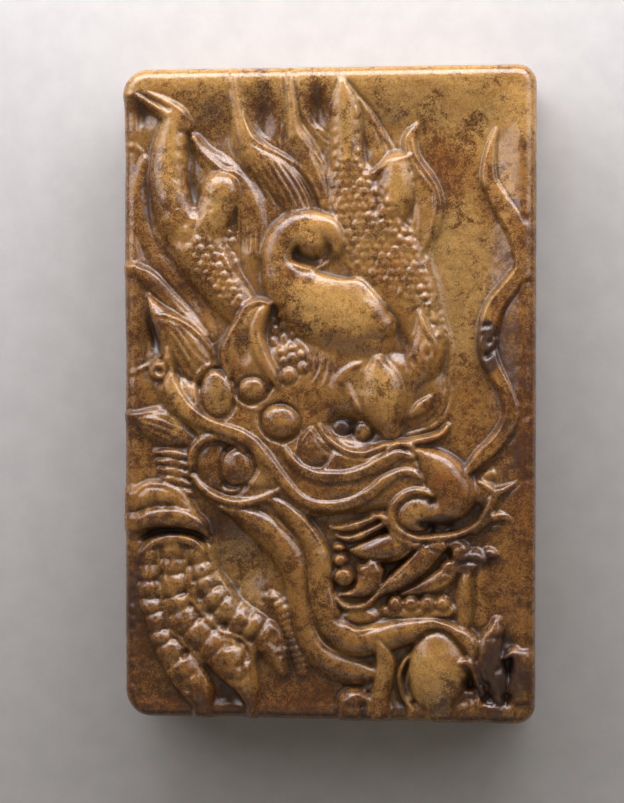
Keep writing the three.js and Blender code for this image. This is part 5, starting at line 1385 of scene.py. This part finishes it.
def tabletMesh(face, low, high):
    thickness, faceEdge, backEdge = plaque["thickness"], plaque["faceEdge"], plaque["backEdge"]
    middle = [(a + b) / 2 for a, b in zip(low, high)]
    halfWidth = (high[0] - low[0]) / mm / 2 - faceEdge
    halfHeight = (high[1] - low[1]) / mm / 2 - faceEdge
    across, up = plaque["cellsAcross"], plaque["cellsUp"]
    flatX, flatY = np.meshgrid(np.linspace(-halfWidth, halfWidth, across + 1),
                               np.linspace(-halfHeight, halfHeight, up + 1))
    radius = cornerRadius(flatX)
    p = np.clip((np.abs(flatX) - halfWidth + radius) / radius, 0, 1)
    q = np.clip((np.abs(flatY) - halfHeight + radius) / radius, 0, 1)
    pointX = np.minimum(np.abs(flatX), halfWidth - radius) + radius * p * np.sqrt(1 - q * q / 2)
    pointY = np.minimum(np.abs(flatY), halfHeight - radius) + radius * q * np.sqrt(1 - p * p / 2)
    pointX, pointY = np.sign(flatX) * pointX, np.sign(flatY) * pointY
    pointZ = thickness - plaque["reliefDepth"] + face.at(pointX, pointY)

    cell = np.arange(pointX.size).reshape(pointX.shape)
    ring = np.concatenate([cell[0, :-1], cell[:-1, -1], cell[-1, :0:-1], cell[:0:-1, 0]])
    rx, ry, rz = pointX.ravel()[ring], pointY.ravel()[ring], pointZ.ravel()[ring]
    ringRadius = cornerRadius(rx)
    outX = np.sign(rx) * np.clip(np.abs(rx) - halfWidth + ringRadius, 0, None)
    outY = np.sign(ry) * np.clip(np.abs(ry) - halfHeight + ringRadius, 0, None)
    length = np.hypot(outX, outY)
    outX, outY = outX / length, outY / length

    rows = []  # out from the carved face's border and z
    for k in range(1, plaque["edgeSteps"] + 1):
        turn = math.pi / 2 * k / plaque["edgeSteps"]
        rows.append((faceEdge * math.sin(turn), rz - faceEdge * (1 - math.cos(turn))))
    for k in range(1, plaque["wallSteps"] + 1):
        t = k / plaque["wallSteps"]
        rows.append((faceEdge, (rz - faceEdge) * (1 - t) + backEdge * t))
    for k in range(1, plaque["backSteps"] + 1):
        turn = math.pi / 2 * k / plaque["backSteps"]
        rows.append((faceEdge - backEdge * (1 - math.cos(turn)), backEdge * (1 - math.sin(turn)) + 0 * rz))

    points = [np.column_stack([pointX.ravel(), pointY.ravel(), pointZ.ravel()])]
    corners = (cell[:-1, :-1], cell[:-1, 1:], cell[1:, 1:], cell[1:, :-1])
    faces = [np.column_stack([corner.ravel() for corner in corners])]
    last, count = ring, pointX.size
    for out, z in rows:
        points.append(np.column_stack([rx + out * outX, ry + out * outY, z]))
        new = count + np.arange(len(ring))
        faces.append(np.column_stack([last, new, np.roll(new, -1), np.roll(last, -1)]))
        last, count = new, count + len(ring)
    points.append(np.array([[0.0, 0.0, 0.0]]))
    # the face point from which each point takes its tones
    source = np.concatenate([np.arange(pointX.size), np.tile(ring, len(rows)), ring[:1]])
    verts = np.concatenate(points) * mm + np.array([middle[0], middle[1], low[2]])
    quads = np.concatenate(faces).tolist()
    fan = [(int(a), count, int(b)) for a, b in zip(last, np.roll(last, -1))]

    mesh = bpy.data.meshes.new("carvedPlaque")
    mesh.from_pydata(verts.tolist(), [], quads + fan)
    smoothFaces = np.ones(len(mesh.polygons), bool)
    smoothFaces[len(quads):] = False
    mesh.polygons.foreach_set("use_smooth", smoothFaces)
    return mesh, pointX, pointY, source


def paintMasks(mesh, face, pointX, pointY, source):
    crevice, crest, laid = stoneMasks(face)
    values = [face.at(pointX, pointY, mask).ravel()[source] for mask in (crevice, crest, *laid)]
    crevice, crest, stainAndShade, brown, olive, light, rust = values
    rings = plaque["edgeSteps"] + plaque["wallSteps"] + plaque["backSteps"]
    ringSize = (len(source) - pointX.size - 1) // rings
    fade = np.repeat(np.linspace(1, 0, rings) ** 2, ringSize)  # down the walls
    fade = np.concatenate([np.ones(pointX.size), fade, [0]])
    crevice, crest, stainAndShade = crevice * fade, crest * fade, stainAndShade * (.3 + .7 * fade)
    layers = {"hollows": (crevice, stainAndShade, crest), "tones": (brown, olive, light),
              "warmth": (rust, rust, rust)}
    for name, values in layers.items():
        layer = mesh.color_attributes.new(name, "FLOAT_COLOR", "POINT")
        layer.data.foreach_set("color", np.column_stack([*values, np.ones_like(crevice)]).ravel())


# Jade

jade = {
    "honey": (.50, .285, .080), "pale": (.62, .39, .165), "middle": (.31, .152, .036),
    "brown": (.095, .034, .010), "olive": (.33, .196, .060), "deep": (.030, .0115, .0045),
    "stainAndShade": (.032, .015, .012), "rust": (.25, .070, .012),
    "cloudSize": 7.0, "mottleSize": 2.0, "fibreSize": 1.6,  # millimetres
    "grainSize": .75, "speckSize": .32, "dustSize": .17,
    "polish": .10, "dull": .42, "coat": .2, "coatRough": .07, "ior": 1.61,
    "glow": .5, "glowReach": (1.0, .5, .2), "glowDepth": 1.6,  # light that sinks in, depth in millimetres
    "texture": .55, "textureDepth": .1,  # strength and millimetres of the finest surface grain
}


def addNode(tree, kind, **values):
    made = tree.nodes.new("ShaderNode" + kind)
    for name, value in values.items():
        if name in made.inputs:
            made.inputs[name].default_value = value
        else:
            setattr(made, name, value)
    return made


def mixed(tree, factor, a, b):  # a and b are sockets or colours, factor a socket or a number
    mix = addNode(tree, "Mix", data_type="RGBA", blend_type="MIX")
    for socket, value in zip((mix.inputs[0], mix.inputs[6], mix.inputs[7]), (factor, a, b)):
        if isinstance(value, bpy.types.NodeSocket):
            tree.links.new(value, socket)
        elif isinstance(value, tuple):
            socket.default_value = (*value, 1)
        else:
            socket.default_value = value
    return mix.outputs[2]


def ranged(tree, value, low, high, least=0.0, most=1.0):
    made = addNode(tree, "MapRange", interpolation_type="SMOOTHSTEP")
    made.inputs[1].default_value = low
    made.inputs[2].default_value = high
    made.inputs[3].default_value = least
    made.inputs[4].default_value = most
    tree.links.new(value, made.inputs[0])
    return made.outputs[0]


def worked(tree, operation, a, b):
    made = addNode(tree, "Math", operation=operation)
    for socket, value in zip(made.inputs, (a, b)):
        if isinstance(value, bpy.types.NodeSocket):
            tree.links.new(value, socket)
        else:
            socket.default_value = value
    return made.outputs[0]


def times(tree, a, b):
    return worked(tree, "MULTIPLY", a, b)


def plus(tree, a, b):
    return worked(tree, "ADD", a, b)


def less(tree, a, b):
    return worked(tree, "SUBTRACT", a, b)


def noise(tree, place, size, detail=3.0, rough=0.55, distortion=0.0, stretch=None):  # size in millimetres
    if stretch:
        turned = addNode(tree, "Mapping")
        turned.inputs["Rotation"].default_value = (0, 0, math.radians(stretch[0]))
        turned.inputs["Scale"].default_value = (stretch[1], stretch[2], 1)
        tree.links.new(place, turned.inputs["Vector"])
        place = turned.outputs[0]
    made = addNode(tree, "TexNoise", Scale=1 / (size * mm), Detail=detail, Roughness=rough,
                   Distortion=distortion)
    tree.links.new(place, made.inputs["Vector"])
    return made.outputs[0]


def paintedMask(tree, name):  # the three values of a point attribute
    parts = addNode(tree, "SeparateColor")
    tree.links.new(addNode(tree, "Attribute", attribute_name=name).outputs["Color"], parts.inputs[0])
    return parts.outputs[0], parts.outputs[1], parts.outputs[2]


def jadeMaterial():
    material = bpy.data.materials.new("jade")
    material.use_nodes = True
    tree = material.node_tree
    shader = tree.nodes["Principled BSDF"]
    place = addNode(tree, "TexCoord").outputs["Object"]
    crevice, stainAndShade, crest = paintedMask(tree, "hollows")
    brown, olive, light = paintedMask(tree, "tones")
    rust = paintedMask(tree, "warmth")[0]

    clouds = noise(tree, place, jade["cloudSize"], 4, .6, .4)
    mottle = noise(tree, place, jade["mottleSize"], 8, .72, .5)
    grain = noise(tree, place, jade["grainSize"], 5, .7, .2)
    specks = noise(tree, place, jade["speckSize"], 3, .65)
    fibres = noise(tree, place, jade["fibreSize"], 6, .66, 1.1, stretch=(35, .8, 1.7))
    dust = noise(tree, place, jade["dustSize"], 2, .6)
    fibre = ranged(tree, worked(tree, "ABSOLUTE", less(tree, fibres, .5), 0), .06, 0)

    # the clean stone, from middle brown to honey, with olive clouds and pale fibres, and painted highlight
    # where the lights mask lays honey on lit places
    mottledLight = times(tree, light, ranged(tree, mottle, .3, .56, .55, 1.05))
    lightness = plus(tree, mottledLight, ranged(tree, clouds, .5, .7, 0, .3))
    colour = mixed(tree, ranged(tree, lightness, 0, 1), jade["middle"], jade["honey"])
    oliveness = times(tree, olive, ranged(tree, mottle, .3, .6, .45, 1))
    colour = mixed(tree, oliveness, colour, jade["olive"])
    paleness = times(tree, ranged(tree, plus(tree, light, olive), 0, 1, .08, .3), fibre)
    colour = mixed(tree, paleness, colour, jade["pale"])
    # honey on the crests, as wear and as painted highlight
    rubbedAndLitCrests = times(tree, crest, ranged(tree, mottle, .6, .38, .1, .6))
    colour = mixed(tree, rubbedAndLitCrests, colour, jade["honey"])

    # brown and rusty patches, broken up by mottling, grain and dust; some of the brown is painted shade
    mottledBrown = times(tree, brown, ranged(tree, clouds, .25, .6, .6, 1.05))
    brownness = plus(tree, mottledBrown, ranged(tree, mottle, .42, .66, -.3, .62))
    brownness = less(tree, brownness, times(tree, light, .3))
    colour = mixed(tree, ranged(tree, brownness, 0, 1.25, 0, .84), colour, jade["brown"])
    colour = mixed(tree, times(tree, rust, ranged(tree, mottle, .62, .42, .1, .9)), colour, jade["rust"])
    dapple = plus(tree, times(tree, grain, .6), times(tree, specks, .4))
    dappled = times(tree, ranged(tree, dapple, .46, .58), ranged(tree, brownness, -.3, .6, .28, .9))
    colour = mixed(tree, dappled, colour, jade["brown"])
    dusty = times(tree, ranged(tree, dust, .45, .62, 0, .9), ranged(tree, brownness, -.3, .5, .3, 1))
    colour = mixed(tree, dusty, colour, jade["brown"])

    # darker in the hollows, as patina and painted shade, and the dark stains, some of them painted shade
    patinaAndShade = times(tree, crevice, ranged(tree, grain, .3, .62, .95, .6))
    colour = mixed(tree, patinaAndShade, colour, jade["deep"])
    # this mask holds real stains and painted shade in the recesses
    stainedAndShaded = plus(tree, stainAndShade, times(tree, plus(tree, mottle, grain), .45))
    stainedAndShaded = ranged(tree, stainedAndShaded, .7, 1.3)
    colour = mixed(tree, times(tree, stainedAndShaded, ranged(tree, specks, .35, .6, .95, .7)), colour, jade["stainAndShade"])
    tree.links.new(colour, shader.inputs["Base Color"])

    dullness = worked(tree, "MAXIMUM", times(tree, crevice, .9), times(tree, stainedAndShaded, .55))
    rough = ranged(tree, dullness, 0, 1, jade["polish"], jade["dull"])
    rough = plus(tree, rough, ranged(tree, grain, .45, .65, 0, .12))
    tree.links.new(rough, shader.inputs["Roughness"])

    relief = plus(tree, times(tree, specks, .6), times(tree, dust, .15))
    relief = plus(tree, relief, times(tree, grain, .9))
    relief = less(tree, relief, times(tree, ranged(tree, dapple, .5, .6), .2))
    bump = addNode(tree, "Bump", Strength=jade["texture"], Distance=jade["textureDepth"] * mm)
    tree.links.new(relief, bump.inputs["Height"])
    tree.links.new(bump.outputs[0], shader.inputs["Normal"])

    shader.inputs["IOR"].default_value = jade["ior"]
    shader.inputs["Subsurface Weight"].default_value = jade["glow"]
    shader.inputs["Subsurface Radius"].default_value = jade["glowReach"]
    shader.inputs["Subsurface Scale"].default_value = jade["glowDepth"] * mm
    shader.inputs["Coat Weight"].default_value = jade["coat"]
    shader.inputs["Coat Roughness"].default_value = jade["coatRough"]
    return material


# The floor, the studio light and the camera

studio = {
    "floorSize": 3.0, "floorColour": (.47, .465, .45), "floorRough": .7, "floorCloud": 3.0,
    "world": (1.0, .88, .72), "worldStrength": .15,
    "lamps": {  # place, aim, width and depth in millimetres, power in watts, colour
        "headStrip": ((0, 98, 58), (0, 16, 6), (180, 54), .245, (.985, .955, 1)),
        "upperLeft": ((-120, 60, 92), (-4, 4, 6), (110, 90), .082, (.97, .93, 1)),
        "upperRight": ((118, 70, 100), (4, 4, 6), (110, 90), .068, (.98, .94, 1)),
        "footFill": ((0, -130, 130), (0, -6, 6), (200, 120), .018, (1, .95, .88)),
    },
    # the camera's offset from its aim, and the aim from the face's middle, in millimetres
    "camera": {"lens": 85, "sensor": 36, "offset": (18.0, 4.0, 187), "aim": (-1.4, -0.6, 0)},
}


def buildFloor(level):
    half = studio["floorSize"] / 2
    mesh = bpy.data.meshes.new("floor")
    corners = [(-half, -half, level), (half, -half, level), (half, half, level), (-half, half, level)]
    mesh.from_pydata(corners, [], [(0, 1, 2, 3)])
    floor = bpy.data.objects.new("floor", mesh)
    bpy.context.scene.collection.objects.link(floor)
    material = bpy.data.materials.new("paleFloor")
    material.use_nodes = True
    tree = material.node_tree
    shader = tree.nodes["Principled BSDF"]
    place = addNode(tree, "TexCoord").outputs["Object"]
    cloud = noise(tree, place, studio["floorCloud"], 4, .6)
    shade = tuple(.93 * c for c in studio["floorColour"])
    colour = mixed(tree, ranged(tree, cloud, .3, .7), studio["floorColour"], shade)
    tree.links.new(colour, shader.inputs["Base Color"])
    shader.inputs["Roughness"].default_value = studio["floorRough"]
    mesh.materials.append(material)


def aimed(place, target):  # a matrix that looks from place to target with +Y up in the picture
    place, target = np.array(place, float), np.array(target, float)
    ahead = (target - place) / np.linalg.norm(target - place)
    right = np.cross(ahead, (0, 1, 0))
    right /= np.linalg.norm(right)
    above = np.cross(right, ahead)
    return [[right[i], above[i], -ahead[i], place[i]] for i in range(3)] + [[0, 0, 0, 1]]


def offsetFrom(middle, offset):  # offset in millimetres
    return [m + v * mm for m, v in zip(middle, offset)]


def buildLights(middle):
    for name, (place, target, size, power, colour) in studio["lamps"].items():
        data = bpy.data.lights.new(name, "AREA")
        data.shape = "RECTANGLE"
        data.size, data.size_y = size[0] * mm, size[1] * mm
        data.energy = power
        data.color = colour
        lamp = bpy.data.objects.new(name, data)
        lamp.matrix_world = Matrix(aimed(offsetFrom(middle, place), offsetFrom(middle, target)))
        bpy.context.scene.collection.objects.link(lamp)
    world = bpy.data.worlds.new("softRoom")
    world.use_nodes = True
    background = world.node_tree.nodes["Background"]
    background.inputs["Color"].default_value = (*studio["world"], 1)
    background.inputs["Strength"].default_value = studio["worldStrength"]
    bpy.context.scene.world = world


def buildCamera(faceMiddle):
    settings = studio["camera"]
    data = bpy.data.cameras.new("camera")
    data.lens = settings["lens"]
    data.sensor_fit = "VERTICAL"
    data.sensor_height = settings["sensor"]
    data.clip_start = 0.01
    camera = bpy.data.objects.new("camera", data)
    target = offsetFrom(faceMiddle, settings["aim"])
    camera.matrix_world = Matrix(aimed(offsetFrom(target, settings["offset"]), target))
    bpy.context.scene.collection.objects.link(camera)
    bpy.context.scene.camera = camera


# Everything in its place

low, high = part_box("plaque")
middle = [(a + b) / 2 for a, b in zip(low, high)]
face = carveDragon((high[0] - low[0]) / mm, (high[1] - low[1]) / mm)
lowest, highest = float(face.heights.min()), float(face.heights.max())
print("carved the face, heights", round(lowest, 2), "to", round(highest, 2), "mm")

mesh, faceX, faceY, source = tabletMesh(face, low, high)
paintMasks(mesh, face, faceX, faceY, source)
mesh.materials.append(jadeMaterial())
dragonPlaque = bpy.data.objects.new("dragonPlaque", mesh)
bpy.context.scene.collection.objects.link(dragonPlaque)
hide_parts("plaque")
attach(dragonPlaque, "root")
print("built the tablet with", sum(len(p.vertices) - 2 for p in mesh.polygons), "triangles")

buildFloor(low[2])
buildLights([middle[0], middle[1], low[2]])
buildCamera([middle[0], middle[1], high[2]])
bpy.context.scene.view_settings.view_transform = "Standard"
print("set the floor, lamps and camera")

bpy.context.view_layer.update()
